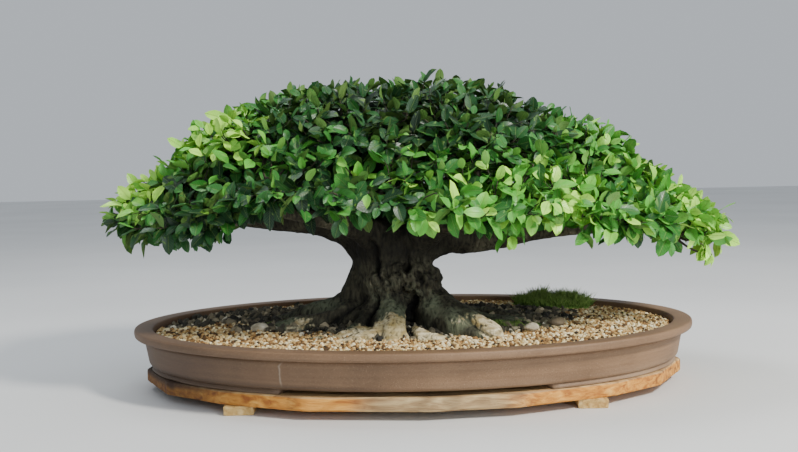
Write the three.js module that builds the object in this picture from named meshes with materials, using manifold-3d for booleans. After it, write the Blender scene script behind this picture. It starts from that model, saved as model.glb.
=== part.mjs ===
// Ficus bonsai in a shallow oval stoneware pot on a sawn wooden board.
// Lengths are millimetres, +Z is up, and the board's battens stand on z = 0.
// While it is modelled the pot's middle is the origin. The last lines move the whole
// plant so that the middle of its outer box is over the origin.

import * as THREE from "three";
import { ConvexGeometry } from "three/addons/geometries/ConvexGeometry.js";
import { mergeVertices } from "three/addons/utils/BufferGeometryUtils.js";
import Module from "manifold-3d";

const wasm = await Module();
wasm.setup();

// Driving dimensions of the wooden board.
const BATTEN = { width: 38, height: 12, length: 400, fromMiddle: 224 };
const BOARD = { length: 768, width: 500, thickness: 18, sawnSides: 18, unevenness: 5 };

// Driving dimensions of the pot. A lip rolls out over the wall, and four feet follow the oval.
const POT = { length: 800, width: 540, height: 58, wall: 13, floor: 9, taper: 6, sides: 44 };
const LIP = { reach: 14, depth: 10, edge: 3 };
const FOOT = { height: 6, depth: 46, inset: 9, fromDegrees: 12, toDegrees: 63, steps: 7 };
const DRAIN = { radius: 13, fromMiddle: 175 };
const MESH = { side: 44, thickness: 1.2, openings: 2, opening: 14 };

// Driving dimensions of what fills the pot.
const SOIL = { edgeHeight: 74, padHeight: 83, crownHeight: 90 };
const ROOT_PAD = { x: -45, y: 8, halfLength: 232, halfWidth: 122 };
const GRAVEL = { depth: 6, relief: 2 };

// Driving dimensions of the crown of leaves.
const CANOPY = {
  x: 15,
  y: 14,
  halfLength: 462,
  halfWidth: 272,
  top: 442,
  leftEdge: 240,
  rightEdge: 222,
};
const CORE = {
  radius: 99,
  thickness: 60,
  roughness: 0.21,
  gap: 4,
  depth: 45,
  underside: 226,
  fall: 0.09,
};
const LEAF = { length: 36, width: 20, fold: 1.8, droop: 3, sunk: 6 };
// Leaves stand in threes round the end of each twig.
const TWIG_END = { leaves: 3, apart: 33, fromTwig: 4 };

const CLEARANCE = 0.4;
const SEED = 20417;

const BOARD_BOTTOM = BATTEN.height;
const BOARD_TOP = BOARD_BOTTOM + BOARD.thickness;
const POT_UNDERSIDE = BOARD_TOP + FOOT.height;
const POT_FLOOR = POT_UNDERSIDE + POT.floor;
const POT_RIM = BOARD_TOP + POT.height;

const COLOURS = {
  stoneware: { color: 0x75594a, roughness: 0.62 },
  board: { color: 0xa5713c, roughness: 0.75 },
  batten: { color: 0xc9a76a, roughness: 0.75 },
  plasticMesh: { color: 0x2f3330, roughness: 0.6 },
  soil: { color: 0x3a2c20, roughness: 0.95 },
  gravel: { color: 0xc0976a, roughness: 0.9 },
  stone: { color: 0xcfc5ae, roughness: 0.85 },
  moss: { color: 0x4f7a2a, roughness: 0.95 },
  bark: { color: 0x5d5348, roughness: 0.85 },
  leaf: { color: 0x3f7a2c, roughness: 0.45 },
};

// A repeatable random number from 0 to 1.
function seeded(seed) {
  let state = seed >>> 0;
  return () => {
    state = (state + 0x6d2b79f5) >>> 0;
    let mixed = Math.imul(state ^ (state >>> 15), state | 1);
    mixed ^= mixed + Math.imul(mixed ^ (mixed >>> 7), mixed | 61);
    return ((mixed ^ (mixed >>> 14)) >>> 0) / 4294967296;
  };
}

// A three.js geometry as a solid that can be joined and cut.
function solidOf(geometry) {
  const bare = geometry.index ? geometry.toNonIndexed() : geometry.clone();
  bare.deleteAttribute("normal");
  bare.deleteAttribute("uv");
  const merged = mergeVertices(bare, 1e-3);
  return new wasm.Manifold(
    new wasm.Mesh({
      numProp: 3,
      vertProperties: new Float32Array(merged.attributes.position.array),
      triVerts: new Uint32Array(merged.index.array),
    }),
  );
}

// The largest body of a solid, without the scraps that a cut leaves loose.
function largestBody(solid) {
  const bodies = solid.decompose();
  return bodies.reduce((best, body) => (body.volume() > best.volume() ? body : best));
}

function geometryOf(solid) {
  const mesh = solid.getMesh();
  const position = new Float32Array(mesh.numVert * 3);
  for (let i = 0; i < mesh.numVert; i++) {
    const start = i * mesh.numProp;
    position.set(mesh.vertProperties.subarray(start, start + 3), i * 3);
  }
  const geometry = new THREE.BufferGeometry();
  geometry.setAttribute("position", new THREE.BufferAttribute(position, 3));
  geometry.setIndex(new THREE.BufferAttribute(new Uint32Array(mesh.triVerts), 1));
  geometry.computeVertexNormals();
  return geometry;
}

function box(width, depth, height, x, y, bottom) {
  return solidOf(new THREE.BoxGeometry(width, depth, height).translate(x, y, bottom + height / 2));
}

// A point of the pot's oval, drawn in from the rim's outer edge by inset.
function ovalPoint(inset, angle, z) {
  const x = (POT.length / 2 - inset) * Math.cos(angle);
  const y = (POT.width / 2 - inset) * Math.sin(angle);
  return new THREE.Vector3(x, y, z);
}

// A profile swept once round the upright axis. place(step, angle, column) gives each corner.
function sweptRound(profileSteps, columns, place) {
  const profile = Array.from({ length: profileSteps }, (_, i) => new THREE.Vector2(1, i));
  const geometry = new THREE.LatheGeometry(profile, columns);
  const position = geometry.attributes.position;
  for (let i = 0; i < position.count; i++) {
    const column = Math.floor(i / profileSteps) % columns;
    const corner = place(i % profileSteps, (2 * Math.PI * column) / columns, column);
    position.setXYZ(i, corner.x, corner.y, corner.z);
  }
  return outward(geometry);
}

// The geometry as a solid with its faces pointing out, whichever way it was wound.
function outward(geometry) {
  const made = solidOf(geometry);
  if (made.volume() > 0) return made;
  const index = geometry.index.array;
  for (let i = 0; i < index.length; i += 3) {
    const first = index[i];
    index[i] = index[i + 1];
    index[i + 1] = first;
  }
  return solidOf(geometry);
}

// The pot's wall, lip and floor in one profile, given as inset from the lip's outer edge and height.
function potBody() {
  const lipBottom = POT_RIM - LIP.depth;
  const innerInset = LIP.reach + POT.wall;
  const footInset = LIP.reach + POT.taper;
  const profile = [
    [null, POT_UNDERSIDE],
    [footInset + 4, POT_UNDERSIDE],
    [footInset, POT_UNDERSIDE + 4],
    [LIP.reach, lipBottom - 3],
    [LIP.edge, lipBottom],
    [0, lipBottom + LIP.edge],
    [0, POT_RIM - LIP.edge],
    [LIP.edge, POT_RIM],
    [innerInset - 3, POT_RIM],
    [innerInset, POT_RIM - 2],
    [innerInset, POT_FLOOR],
    [null, POT_FLOOR],
  ];
  return sweptRound(profile.length, POT.sides, (step, angle) => {
    const [inset, z] = profile[step];
    return inset === null ? new THREE.Vector3(0, 0, z) : ovalPoint(inset, angle, z);
  });
}

// One foot: a short band of the oval, from one angle to the other.
function potFoot(fromAngle, toAngle) {
  const outer = LIP.reach + FOOT.inset;
  const inner = outer + FOOT.depth;
  const angles = Array.from(
    { length: FOOT.steps + 1 },
    (_, i) => fromAngle + ((toAngle - fromAngle) * i) / FOOT.steps,
  );
  const outline = new THREE.Shape([
    ...angles.map((angle) => ovalPoint(outer, angle, 0)),
    ...angles.reverse().map((angle) => ovalPoint(inner, angle, 0)),
  ]);
  const intoFloor = 2;
  const height = FOOT.height + intoFloor;
  const foot = new THREE.ExtrudeGeometry(outline, { depth: height, bevelEnabled: false });
  return solidOf(foot.translate(0, 0, BOARD_TOP));
}

function drainHole(x) {
  const height = POT.floor * 3;
  const hole = new THREE.CylinderGeometry(DRAIN.radius, DRAIN.radius, height, 12);
  return solidOf(hole.rotateX(Math.PI / 2).translate(x, 0, POT_UNDERSIDE));
}

function pot() {
  const from = THREE.MathUtils.degToRad(FOOT.fromDegrees);
  const to = THREE.MathUtils.degToRad(FOOT.toDegrees);
  let made = potBody();
  for (const [start, end] of [[from, to], [Math.PI - to, Math.PI - from]]) {
    made = made.add(potFoot(start, end)).add(potFoot(-end, -start));
  }
  for (const side of [-1, 1]) made = made.subtract(drainHole(side * DRAIN.fromMiddle));
  return made;
}

// The square of plastic mesh that keeps soil out of a drain hole.
function drainMesh(x) {
  let made = box(MESH.side, MESH.side, MESH.thickness, x, 0, POT_FLOOR);
  const pitch = MESH.side / (MESH.openings + 0.5);
  for (let i = 0; i < MESH.openings; i++) {
    for (let j = 0; j < MESH.openings; j++) {
      const dx = (i - (MESH.openings - 1) / 2) * pitch;
      const dy = (j - (MESH.openings - 1) / 2) * pitch;
      const cut = box(MESH.opening, MESH.opening, MESH.thickness * 3, x + dx, dy, POT_FLOOR - 1);
      made = made.subtract(cut);
    }
  }
  return made;
}

// The board is an oval sawn by hand in short straight cuts.
function board() {
  const random = seeded(SEED + 1);
  const corners = Array.from({ length: BOARD.sawnSides }, (_, i) => {
    const angle = (2 * Math.PI * (i + 0.5 + 0.25 * (random() - 0.5))) / BOARD.sawnSides;
    const off = BOARD.unevenness * (random() - 0.5);
    return new THREE.Vector2(
      (BOARD.length / 2 + off) * Math.cos(angle),
      (BOARD.width / 2 + off) * Math.sin(angle),
    );
  });
  const plank = new THREE.ExtrudeGeometry(new THREE.Shape(corners), {
    depth: BOARD.thickness,
    bevelEnabled: false,
  });
  return solidOf(plank.translate(0, 0, BOARD_BOTTOM));
}

function batten(side) {
  const x = side * BATTEN.fromMiddle;
  return box(BATTEN.width, BATTEN.length, BATTEN.height, x, 0, 0);
}

// Where the gravel ends and the root pad begins, at an angle round the pot.
function padEdge(angle) {
  const wander = 1 + 0.07 * Math.sin(3 * angle + 1) + 0.05 * Math.sin(7 * angle);
  const x = ROOT_PAD.x + ROOT_PAD.halfLength * wander * Math.cos(angle);
  const y = ROOT_PAD.y + ROOT_PAD.halfWidth * wander * Math.sin(angle);
  return new THREE.Vector3(x, y, SOIL.padHeight);
}

const FILL_INSET = LIP.reach + POT.wall + CLEARANCE;
const FILL_COLUMNS = POT.sides;
const STONE_MIDDLE = SOIL.padHeight + GRAVEL.depth + 1.5;

// The height of the soil under the gravel.
function groundUnder(x, y) {
  const angle = Math.atan2(y - ROOT_PAD.y, x - ROOT_PAD.x);
  const pad = padEdge(angle);
  const padReach = Math.hypot(pad.x - ROOT_PAD.x, pad.y - ROOT_PAD.y);
  const reach = Math.hypot(x - ROOT_PAD.x, y - ROOT_PAD.y);
  return reach < padReach ? SOIL.crownHeight : SOIL.padHeight;
}

// A point of the ground between the pad's edge, at share 0, and the pot's wall, at share 1.
function groundPoint(share, angle, lift) {
  const wall = ovalPoint(FILL_INSET, angle, SOIL.edgeHeight);
  const point = padEdge(angle).lerp(wall, share);
  point.z += lift;
  return point;
}

// The soil fills the pot, slopes up to the root pad and is lumpy round the trunk.
function soil() {
  const random = seeded(SEED + 2);
  const lumps = new Map();
  const lump = (key) => {
    if (!lumps.has(key)) lumps.set(key, random() - 0.5);
    return lumps.get(key);
  };
  const middle = new THREE.Vector3(ROOT_PAD.x, ROOT_PAD.y, SOIL.crownHeight);
  const padShares = [0.8, 0.5];
  const place = (step, angle, column) => {
    if (step === 0) return new THREE.Vector3(ROOT_PAD.x, ROOT_PAD.y, POT_FLOOR);
    if (step === 1) return ovalPoint(FILL_INSET, angle, POT_FLOOR);
    if (step === 2) return groundPoint(1, angle, 0);
    if (step === 3) return groundPoint(0, angle, 0);
    const share = padShares[step - 4];
    if (share === undefined) return middle;
    const point = middle.clone().lerp(padEdge(angle), share);
    const coarse = `${step}:${Math.floor(column / 2)}`;
    point.z += 3.5 * lump(coarse);
    return point;
  };
  return sweptRound(padShares.length + 5, FILL_COLUMNS, place);
}

// Gravel lies in an even layer from the pad's edge to the pot's wall. Its grains are relief.
function gravel() {
  const random = seeded(SEED + 3);
  const topShares = [0, 0.3, 0.65, 1];
  const grains = topShares.map(() =>
    Array.from({ length: FILL_COLUMNS }, () => GRAVEL.relief * (2 * random() - 1)),
  );
  const bottomShares = [1, 0];
  const steps = bottomShares.length + topShares.length + 1;
  return sweptRound(steps, FILL_COLUMNS, (step, angle, column) => {
    const low = step === steps - 1 ? 0 : step;
    if (low < bottomShares.length) return groundPoint(bottomShares[low], angle, CLEARANCE);
    const row = low - bottomShares.length;
    return groundPoint(topShares[row], angle, GRAVEL.depth + grains[row][column]);
  });
}

// The smooth curve through the stations of a root, stem or limb.
function curveThrough(stations) {
  return new THREE.CatmullRomCurve3(stations.map(([x, y, z]) => new THREE.Vector3(x, y, z)));
}

// A round bar along the curve through its stations, each given as x, y, z and radius. Swelling
// makes it fluted, and extra makes it larger all over, for the hole that it stands in.
function bar(stations, { sides, steps, flutes = 0, swelling = 0, extra = 0 }) {
  const curve = curveThrough(stations);
  const frames = curve.computeFrenetFrames(steps, false);
  const lengths = curve.getLengths(200);
  const total = lengths[lengths.length - 1];
  const reached = stations.map((_, i) => {
    const along = (i / (stations.length - 1)) * 200;
    return lengths[Math.round(along)] / total;
  });
  const radiusAt = (t) => {
    let i = 0;
    while (i < reached.length - 2 && t > reached[i + 1]) i++;
    const share = (t - reached[i]) / (reached[i + 1] - reached[i]);
    const [before, after] = [stations[i][3], stations[i + 1][3]];
    return THREE.MathUtils.lerp(before, after, THREE.MathUtils.clamp(share, 0, 1));
  };
  const geometry = new THREE.CylinderGeometry(1, 1, 1, sides, steps);
  const position = geometry.attributes.position;
  for (let i = 0; i < position.count; i++) {
    const station = Math.round((position.getY(i) + 0.5) * steps);
    const t = station / steps;
    const [across, up] = [position.getX(i), position.getZ(i)];
    const angle = Math.atan2(up, across);
    const fluted = 1 + swelling * Math.sin(flutes * angle + 5 * t);
    const radius = radiusAt(t) * fluted + extra;
    const end = station === 0 ? -extra : station === steps ? extra : 0;
    const corner = curve
      .getPointAt(t)
      .addScaledVector(frames.tangents[station], end)
      .addScaledVector(frames.binormals[station], across * radius)
      .addScaledVector(frames.normals[station], up * radius);
    position.setXYZ(i, corner.x, corner.y, corner.z);
  }
  return outward(geometry);
}

// The trunk and the stems that have grown into it, from below the soil to the fork.
const TRUNK = [
  [
    [-24, -20, 66, 56],
    [-25, -20, 104, 55],
    [-26, -24, 140, 56],
    [-26, -26, 170, 55],
    [-26, -24, 200, 58],
    [-22, -18, 230, 38],
  ],
  [[-86, -8, 88, 36], [-64, -20, 136, 31], [-58, -22, 176, 26], [-74, -24, 210, 24]],
  [[-34, -82, 84, 31], [-32, -70, 118, 29], [-28, -56, 158, 25], [-24, -44, 200, 22]],
  [[34, -62, 84, 34], [14, -54, 130, 32], [3, -42, 166, 27], [12, -30, 206, 26]],
];

// The surface roots, from inside the trunk's foot out to where each dives under the ground.
const ROOTS = [
  [[-58, -18, 120, 34], [-102, -8, 99, 24], [-146, 6, 90, 16], [-188, 20, 81, 10], [-234, 34, 73, 6]],
  [[-30, -60, 124, 26], [-28, -88, 106, 23], [-18, -124, 91, 17], [2, -162, 74, 8]],
  [[-44, -60, 110, 24], [-62, -92, 95, 18], [-84, -122, 84, 12], [-106, -146, 72, 6]],
  [[16, -48, 130, 32], [44, -84, 100, 33], [76, -116, 88, 25], [112, -142, 80, 17], [150, -156, 70, 7]],
  [[14, -6, 110, 30], [76, 16, 89, 18], [142, 32, 82, 11], [206, 44, 73, 6]],
  [[28, -34, 101, 22], [96, -30, 86, 14], [160, -36, 82, 9], [222, -48, 73, 6]],
  [[-56, 14, 118, 32], [-102, 56, 98, 21], [-142, 92, 88, 13], [-178, 122, 73, 7]],
  [[-6, 24, 118, 32], [16, 72, 98, 21], [46, 112, 87, 13], [72, 142, 73, 7]],
  [[-62, -44, 104, 26], [-118, -56, 94, 17], [-170, -54, 88, 12], [-226, -44, 73, 6]],
];

// The main limbs, from the fork out through the crown.
const LIMBS = [
  [
    [-44, -24, 188, 37],
    [-80, -28, 217, 27],
    [-130, -28, 233, 21],
    [-220, -18, 240, 15],
    [-310, -5, 246, 10],
    [-372, 2, 250, 5],
  ],
  [
    [-9, -26, 190, 35],
    [42, -28, 209, 27],
    [110, -26, 214, 22],
    [214, -16, 221, 15],
    [320, -22, 218, 10],
    [404, -24, 210, 5],
  ],
  [[-40, -44, 202, 25], [-82, -84, 230, 16], [-142, -118, 248, 11], [-222, -136, 258, 5]],
  [[-4, -46, 202, 25], [44, -88, 228, 15], [112, -122, 244, 10], [206, -140, 246, 5]],
  [[-40, 6, 204, 25], [-88, 76, 240, 17], [-150, 128, 258, 11], [-232, 156, 262, 5]],
  [[-2, 6, 204, 25], [48, 74, 238, 17], [124, 132, 252, 11], [226, 158, 248, 5]],
  [[-20, 0, 214, 24], [-12, 78, 250, 14], [0, 150, 262, 6]],
  [[-20, -16, 212, 34], [-34, -8, 272, 20], [-6, 4, 330, 12], [16, 14, 380, 5]],
  [[-30, -16, 214, 26], [-84, -4, 284, 17], [-116, 8, 336, 10], [-118, 14, 372, 5]],
  [[-6, -14, 214, 26], [54, 0, 276, 17], [112, 10, 326, 10], [146, 14, 356, 5]],
];

// The height of the crown's outer surface, which is rounder to the left than to the right.
function canopyTop(x, y) {
  const across = (x - CANOPY.x) / CANOPY.halfLength;
  const away = (y - CANOPY.y) / CANOPY.halfWidth;
  const out = Math.min(1.2, Math.hypot(across, away));
  const roundness = 2.3 - 0.65 * Math.tanh(3 * across);
  const edge = THREE.MathUtils.lerp(CANOPY.leftEdge, CANOPY.rightEdge, (across + 1) / 2);
  return edge + (CANOPY.top - edge) * (1 - out ** roundness);
}

// The middles of the sprays: two rings and a short row under the crown's surface, evenly spread.
function sprayMiddles() {
  const rings = [
    { halfLength: 428, halfWidth: 228, count: 14, turn: 0.12 },
    { halfLength: 280, halfWidth: 146, count: 8, turn: 0.5 },
  ];
  const over = rings.flatMap(({ halfLength, halfWidth, count, turn }) => {
    const ring = new THREE.EllipseCurve(CANOPY.x, CANOPY.y, halfLength, halfWidth);
    return Array.from({ length: count }, (_, i) => ring.getPointAt(((i + turn) / count) % 1));
  });
  for (const x of [-118, 20, 150]) over.push(new THREE.Vector2(x, CANOPY.y));
  return over.map(({ x, y }) => {
    const surface = new THREE.Vector3(x, y, canopyTop(x, y));
    return surface.addScaledVector(canopyNormal(surface), -CORE.depth);
  });
}

// The way the crown's surface faces over a point.
function canopyNormal({ x, y }) {
  const step = 12;
  const slopeX = (canopyTop(x + step, y) - canopyTop(x - step, y)) / (2 * step);
  const slopeY = (canopyTop(x, y + step) - canopyTop(x, y - step)) / (2 * step);
  return new THREE.Vector3(-slopeX, -slopeY, 1).normalize();
}

// The point of the limbs that a spray's own branch grows from: near it, and lower.
function limbPointFor(middle) {
  let best = null;
  for (const limb of LIMBS) {
    const curve = curveThrough(limb);
    for (let t = 0.2; t <= 1; t += 0.05) {
      const point = curve.getPoint(t);
      const rise = Math.max(0, point.z - middle.z + 25);
      const far = point.distanceTo(middle) + 4 * rise;
      const radius = limb[Math.round(t * (limb.length - 1))][3];
      if (!best || far < best.far) best = { far, point, radius };
    }
  }
  return best;
}

// One branch for each spray, from the limb up into the middle of the leaves.
function sprayBranches(middles) {
  return middles.map((middle) => {
    const { point, radius } = limbPointFor(middle);
    const bend = point.clone().lerp(middle, 0.5);
    bend.z -= 0.12 * point.distanceTo(middle);
    const thick = Math.min(7, radius);
    return [
      [...point.toArray(), thick],
      [...bend.toArray(), 0.8 * thick],
      [...middle.toArray(), 2.6],
    ];
  });
}

// The whole of the wood as one body, as it grew. extra makes it larger all over.
function wood(branches, extra) {
  const bars = [
    bar(TRUNK[0], { sides: 14, steps: 6, flutes: 4, swelling: 0.06, extra }),
    ...TRUNK.slice(1).map((stem) => bar(stem, { sides: 7, steps: 3, extra })),
    ...ROOTS.map((root) => bar(root, { sides: 6, steps: 3, extra })),
    ...LIMBS.map((limb) => bar(limb, { sides: 5, steps: 4, extra })),
    ...branches.map((branch) => bar(branch, { sides: 3, steps: 2, extra })),
  ];
  return largestBody(wasm.Manifold.union(bars));
}

// A leaf blade: widest near its foot, pointed at both ends, arched, with a keel along its underside.
// grow makes it larger all over, for the space that it keeps from its neighbours.
function leafBlade(base, along, facing, scale, grow = 0) {
  const side = new THREE.Vector3().crossVectors(facing, along).normalize();
  const up = new THREE.Vector3().crossVectors(along, side).normalize();
  const halfWidth = LEAF.width / 2;
  const corner = (share, across, lift) => {
    const stretch = LEAF.length * scale + 2 * grow;
    const spread = halfWidth * scale * Math.abs(across) + grow;
    return base
      .clone()
      .addScaledVector(along, share * stretch - grow)
      .addScaledVector(side, Math.sign(across) * spread)
      .addScaledVector(up, lift);
  };
  const levels = grow ? [-grow, grow] : [0];
  const corners = levels.flatMap((level) => [
    corner(0, 0, level),
    corner(0.3, 1, LEAF.fold + level),
    corner(0.3, -1, LEAF.fold + level),
    corner(0.72, 0.74, LEAF.fold - 0.4 * LEAF.droop + level),
    corner(0.72, -0.74, LEAF.fold - 0.4 * LEAF.droop + level),
    corner(1, 0, -LEAF.droop + level),
  ]);
  return outward(new ConvexGeometry(corners));
}

// The mass of twigs inside a spray: one uneven lump, thin through the crown and broad along it.
// It stops short of the lumps round it and is clipped level underneath. The leaves stand out of it.
function sprayCore(middle, neighbours, random) {
  const geometry = new THREE.OctahedronGeometry(1, 1);
  const position = geometry.attributes.position;
  const bumps = new Map();
  const toNormal = new THREE.Quaternion().setFromUnitVectors(
    new THREE.Vector3(0, 0, 1),
    canopyNormal(middle),
  );
  for (let i = 0; i < position.count; i++) {
    const corner = new THREE.Vector3().fromBufferAttribute(position, i);
    const key = corner.toArray().map((c) => Math.round(c * 100)).join();
    if (!bumps.has(key)) bumps.set(key, 1 - 2 * CORE.roughness * random());
    corner.multiplyScalar(CORE.radius * bumps.get(key));
    corner.z *= CORE.thickness / (2 * CORE.radius);
    corner.applyQuaternion(toNormal).add(middle);
    position.setXYZ(i, corner.x, corner.y, corner.z);
  }
  geometry.setIndex([...Array(position.count).keys()]);
  const underside = CORE.underside - CORE.fall * Math.max(0, middle.x);
  const whole = outward(geometry).trimByPlane([0, 0, 1], underside);
  return neighbours.reduce((core, other) => {
    const away = middle.clone().sub(other).normalize();
    const edge = middle.clone().lerp(other, 0.5).dot(away) + CORE.gap / 2;
    return core.trimByPlane(away.toArray(), edge);
  }, whole);
}

// The ends of the twigs: spread evenly over the open sides of a core, none beside another core.
function twigEnds(middle, core, neighbours, random) {
  const surface = new THREE.Mesh(geometryOf(core), new THREE.MeshBasicMaterial());
  surface.material.side = THREE.DoubleSide;
  const open = new THREE.Vector3(middle.x - CANOPY.x, middle.y - CANOPY.y, 0);
  open.divideScalar(CANOPY.halfWidth).clampLength(0, 1).add(canopyNormal(middle)).normalize();
  const ends = [];
  const tries = 160;
  for (let i = 0; i < tries; i++) {
    const step = (i * 61) % tries;
    const height = 1 - (2 * (step + 0.5)) / tries;
    const turn = step * Math.PI * (3 - Math.sqrt(5));
    const flat = Math.sqrt(1 - height * height);
    const direction = new THREE.Vector3(flat * Math.cos(turn), flat * Math.sin(turn), height);
    const [hit] = new THREE.Raycaster(middle, direction).intersectObject(surface);
    const normal = hit.face.normal.clone();
    if (normal.dot(direction) < 0) normal.negate();
    if (normal.dot(open) < -0.25) continue;
    const besideCore = neighbours.some((other) => {
      const away = middle.clone().sub(other).normalize();
      return hit.point.dot(away) - middle.clone().lerp(other, 0.5).dot(away) < 7;
    });
    if (besideCore) continue;
    if (ends.some(({ point }) => point.distanceTo(hit.point) < TWIG_END.apart)) continue;
    ends.push({ point: hit.point, normal, turn: 2 * random() - 1 });
  }
  return ends;
}

// The leaves round one twig's end: turned evenly round it, and leaning out and down the crown.
function leavesAt({ point, normal, turn }, middle, random) {
  const downhill = new THREE.Vector3(middle.x - CANOPY.x, middle.y - CANOPY.y, -160);
  downhill.addScaledVector(normal, -downhill.dot(normal)).normalize();
  return Array.from({ length: TWIG_END.leaves }, (_, i) => {
    const around = (2 * Math.PI * i) / TWIG_END.leaves + 0.5 * turn + 0.4 * (random() - 0.5);
    const lift = 0.3 + 0.32 * random() + 0.1 * (1 - Math.cos(around));
    const flat = downhill.clone().applyAxisAngle(normal, around);
    const along = flat.clone().multiplyScalar(Math.cos(lift)).addScaledVector(normal, Math.sin(lift));
    const base = point.clone().addScaledVector(flat, TWIG_END.fromTwig + LEAF.sunk * 0.5);
    base.addScaledVector(along, -LEAF.sunk);
    return { base, along, facing: normal, scale: 0.88 + 0.24 * random() };
  });
}

// All the sprays of leaves, each one body. A leaf that would cross anything else is left out.
function sprays(middles, woodWithClearance) {
  const random = seeded(SEED + 4);
  const around = middles.map((middle) => {
    const reach = 2 * CORE.radius + 2 * LEAF.length;
    return middles.filter((other) => other !== middle && other.distanceTo(middle) < reach);
  });
  const cores = middles.map((middle, i) => sprayCore(middle, around[i], random));
  const made = [...cores];
  middles.forEach((middle, i) => {
    const near = made.filter((_, j) => around[i].includes(middles[j]));
    const leaves = [];
    const ends = twigEnds(middle, cores[i], around[i], random);
    for (const leaf of ends.flatMap((end) => leavesAt(end, middle, random))) {
      const { base, along, facing, scale } = leaf;
      const space = leafBlade(base, along, facing, scale, CLEARANCE);
      const inTheWay = [...near, woodWithClearance, ...leaves];
      if (inTheWay.some((solid) => !space.intersect(solid).isEmpty())) continue;
      leaves.push(leafBlade(base, along, facing, scale));
    }
    const whole = wasm.Manifold.union([cores[i], ...leaves]);
    made[i] = largestBody(whole.subtract(woodWithClearance));
  });
  return made;
}

// A cushion of moss: a low dome with a tufted top. grow makes it larger all over.
function mossDome({ x, y, halfLength, halfWidth, height, turn, tuft }, seed, grow) {
  const random = seeded(seed);
  const columns = 14;
  const rings = [
    [null, -9],
    [1, -9],
    [1, 0],
    [0.8, 0.66],
    [0.42, 0.94],
    [null, 1],
  ];
  const heights = rings.map(() => Array.from({ length: columns }, () => tuft * (2 * random() - 1)));
  const edge = Array.from({ length: columns }, () => 1 - 0.22 * random());
  return sweptRound(rings.length, columns, (step, angle, column) => {
    const [share, level] = rings[step];
    const tufted = heights[step][share === null ? 0 : column];
    const top = level > 0 ? height * level + tufted + grow : level;
    const out = share === null ? 0 : share * edge[column];
    const corner = new THREE.Vector3(
      (halfLength + 1.5 * grow) * out * Math.cos(angle),
      (halfWidth + 1.5 * grow) * out * Math.sin(angle),
      MOSS_FOOT + top,
    );
    return corner.applyAxisAngle(new THREE.Vector3(0, 0, 1), turn).add(new THREE.Vector3(x, y, 0));
  });
}

// The moss: a mound behind to the right, and two low patches on the root pad.
const MOSS_FOOT = 82;
const MOSS = [
  {
    name: "moss_mound_back_right",
    x: 222,
    y: 112,
    halfLength: 66,
    halfWidth: 36,
    height: 24,
    turn: -0.35,
    tuft: 3,
  },
  {
    name: "moss_patch_right",
    x: 128,
    y: -70,
    halfLength: 54,
    halfWidth: 22,
    height: 9,
    turn: -0.15,
    tuft: 1.4,
  },
  {
    name: "moss_patch_left",
    x: -166,
    y: -20,
    halfLength: 60,
    halfWidth: 22,
    height: 8,
    turn: 0.1,
    tuft: 1.4,
  },
];

const STONES = [
  { name: "pale_stone_left", x: -212, y: -80, radius: 11 },
  { name: "pale_stone_right", x: 198, y: -76, radius: 10 },
  { name: "pale_stone_front_right", x: 158, y: -116, radius: 9 },
];

// A loose stone, sunk a little in the gravel.
function stone({ x, y, radius }, index, grow) {
  const random = seeded(SEED + 30 + index);
  const bottom = groundUnder(x, y) + CLEARANCE;
  const points = Array.from({ length: 14 }, () => {
    const way = new THREE.Vector3(random() - 0.5, random() - 0.5, random() - 0.5).normalize();
    way.multiplyScalar(radius * (0.85 + 0.3 * random()) + grow);
    return new THREE.Vector3(x + 1.25 * way.x, y + way.y, STONE_MIDDLE + 0.75 * way.z);
  });
  return outward(new ConvexGeometry(points)).trimByPlane([0, 0, 1], bottom);
}

// Moss lies on the soil and round the roots, so the soil and the wood are cut from it.
function mossCushion(patch, index, soilSolid, woodWithClearance) {
  const dome = mossDome(patch, SEED + 10 + index, 0);
  const onSoil = dome.subtract(soilSolid.translate([0, 0, CLEARANCE]));
  return largestBody(onSoil.subtract(woodWithClearance));
}

function addNode(group, name, solid, look) {
  const material = new THREE.MeshStandardMaterial({ metalness: 0, ...COLOURS[look] });
  const mesh = new THREE.Mesh(geometryOf(solid), material);
  mesh.name = name;
  group.add(mesh);
}

const plant = new THREE.Group();

const middles = sprayMiddles();
const branches = sprayBranches(middles);
const treeWood = wood(branches, 0);
const woodWithClearance = wood(branches, CLEARANCE);
const potSolid = pot();

addNode(plant, "board", board(), "board");
addNode(plant, "batten_left", batten(-1), "batten");
addNode(plant, "batten_right", batten(1), "batten");
addNode(plant, "pot", potSolid, "stoneware");
addNode(plant, "drain_mesh_left", drainMesh(-DRAIN.fromMiddle), "plasticMesh");
addNode(plant, "drain_mesh_right", drainMesh(DRAIN.fromMiddle), "plasticMesh");

let soilSolid = soil();
for (const side of [-1, 1]) {
  const room = MESH.side + 2 * CLEARANCE;
  const x = side * DRAIN.fromMiddle;
  soilSolid = soilSolid.subtract(box(room, room, 2 * MESH.thickness, x, 0, POT_FLOOR - CLEARANCE));
}
const mossRoom = MOSS.map((patch, i) => mossDome(patch, SEED + 10 + i, CLEARANCE));
const stoneRoom = STONES.map((at, i) => stone(at, i, CLEARANCE));
const gravelSolid = gravel().subtract(wasm.Manifold.union([...mossRoom, ...stoneRoom]));
addNode(plant, "soil", largestBody(soilSolid.subtract(woodWithClearance)), "soil");
addNode(plant, "gravel", largestBody(gravelSolid.subtract(woodWithClearance)), "gravel");
MOSS.forEach((patch, i) => {
  addNode(plant, patch.name, mossCushion(patch, i, soilSolid, woodWithClearance), "moss");
});

STONES.forEach((at, i) => addNode(plant, at.name, stone(at, i, 0), "stone"));

addNode(plant, "trunk_roots_and_branches", treeWood, "bark");
sprays(middles, woodWithClearance).forEach((solid, i) => {
  addNode(plant, `leaf_spray_${String(i + 1).padStart(2, "0")}`, solid, "leaf");
});

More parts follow.
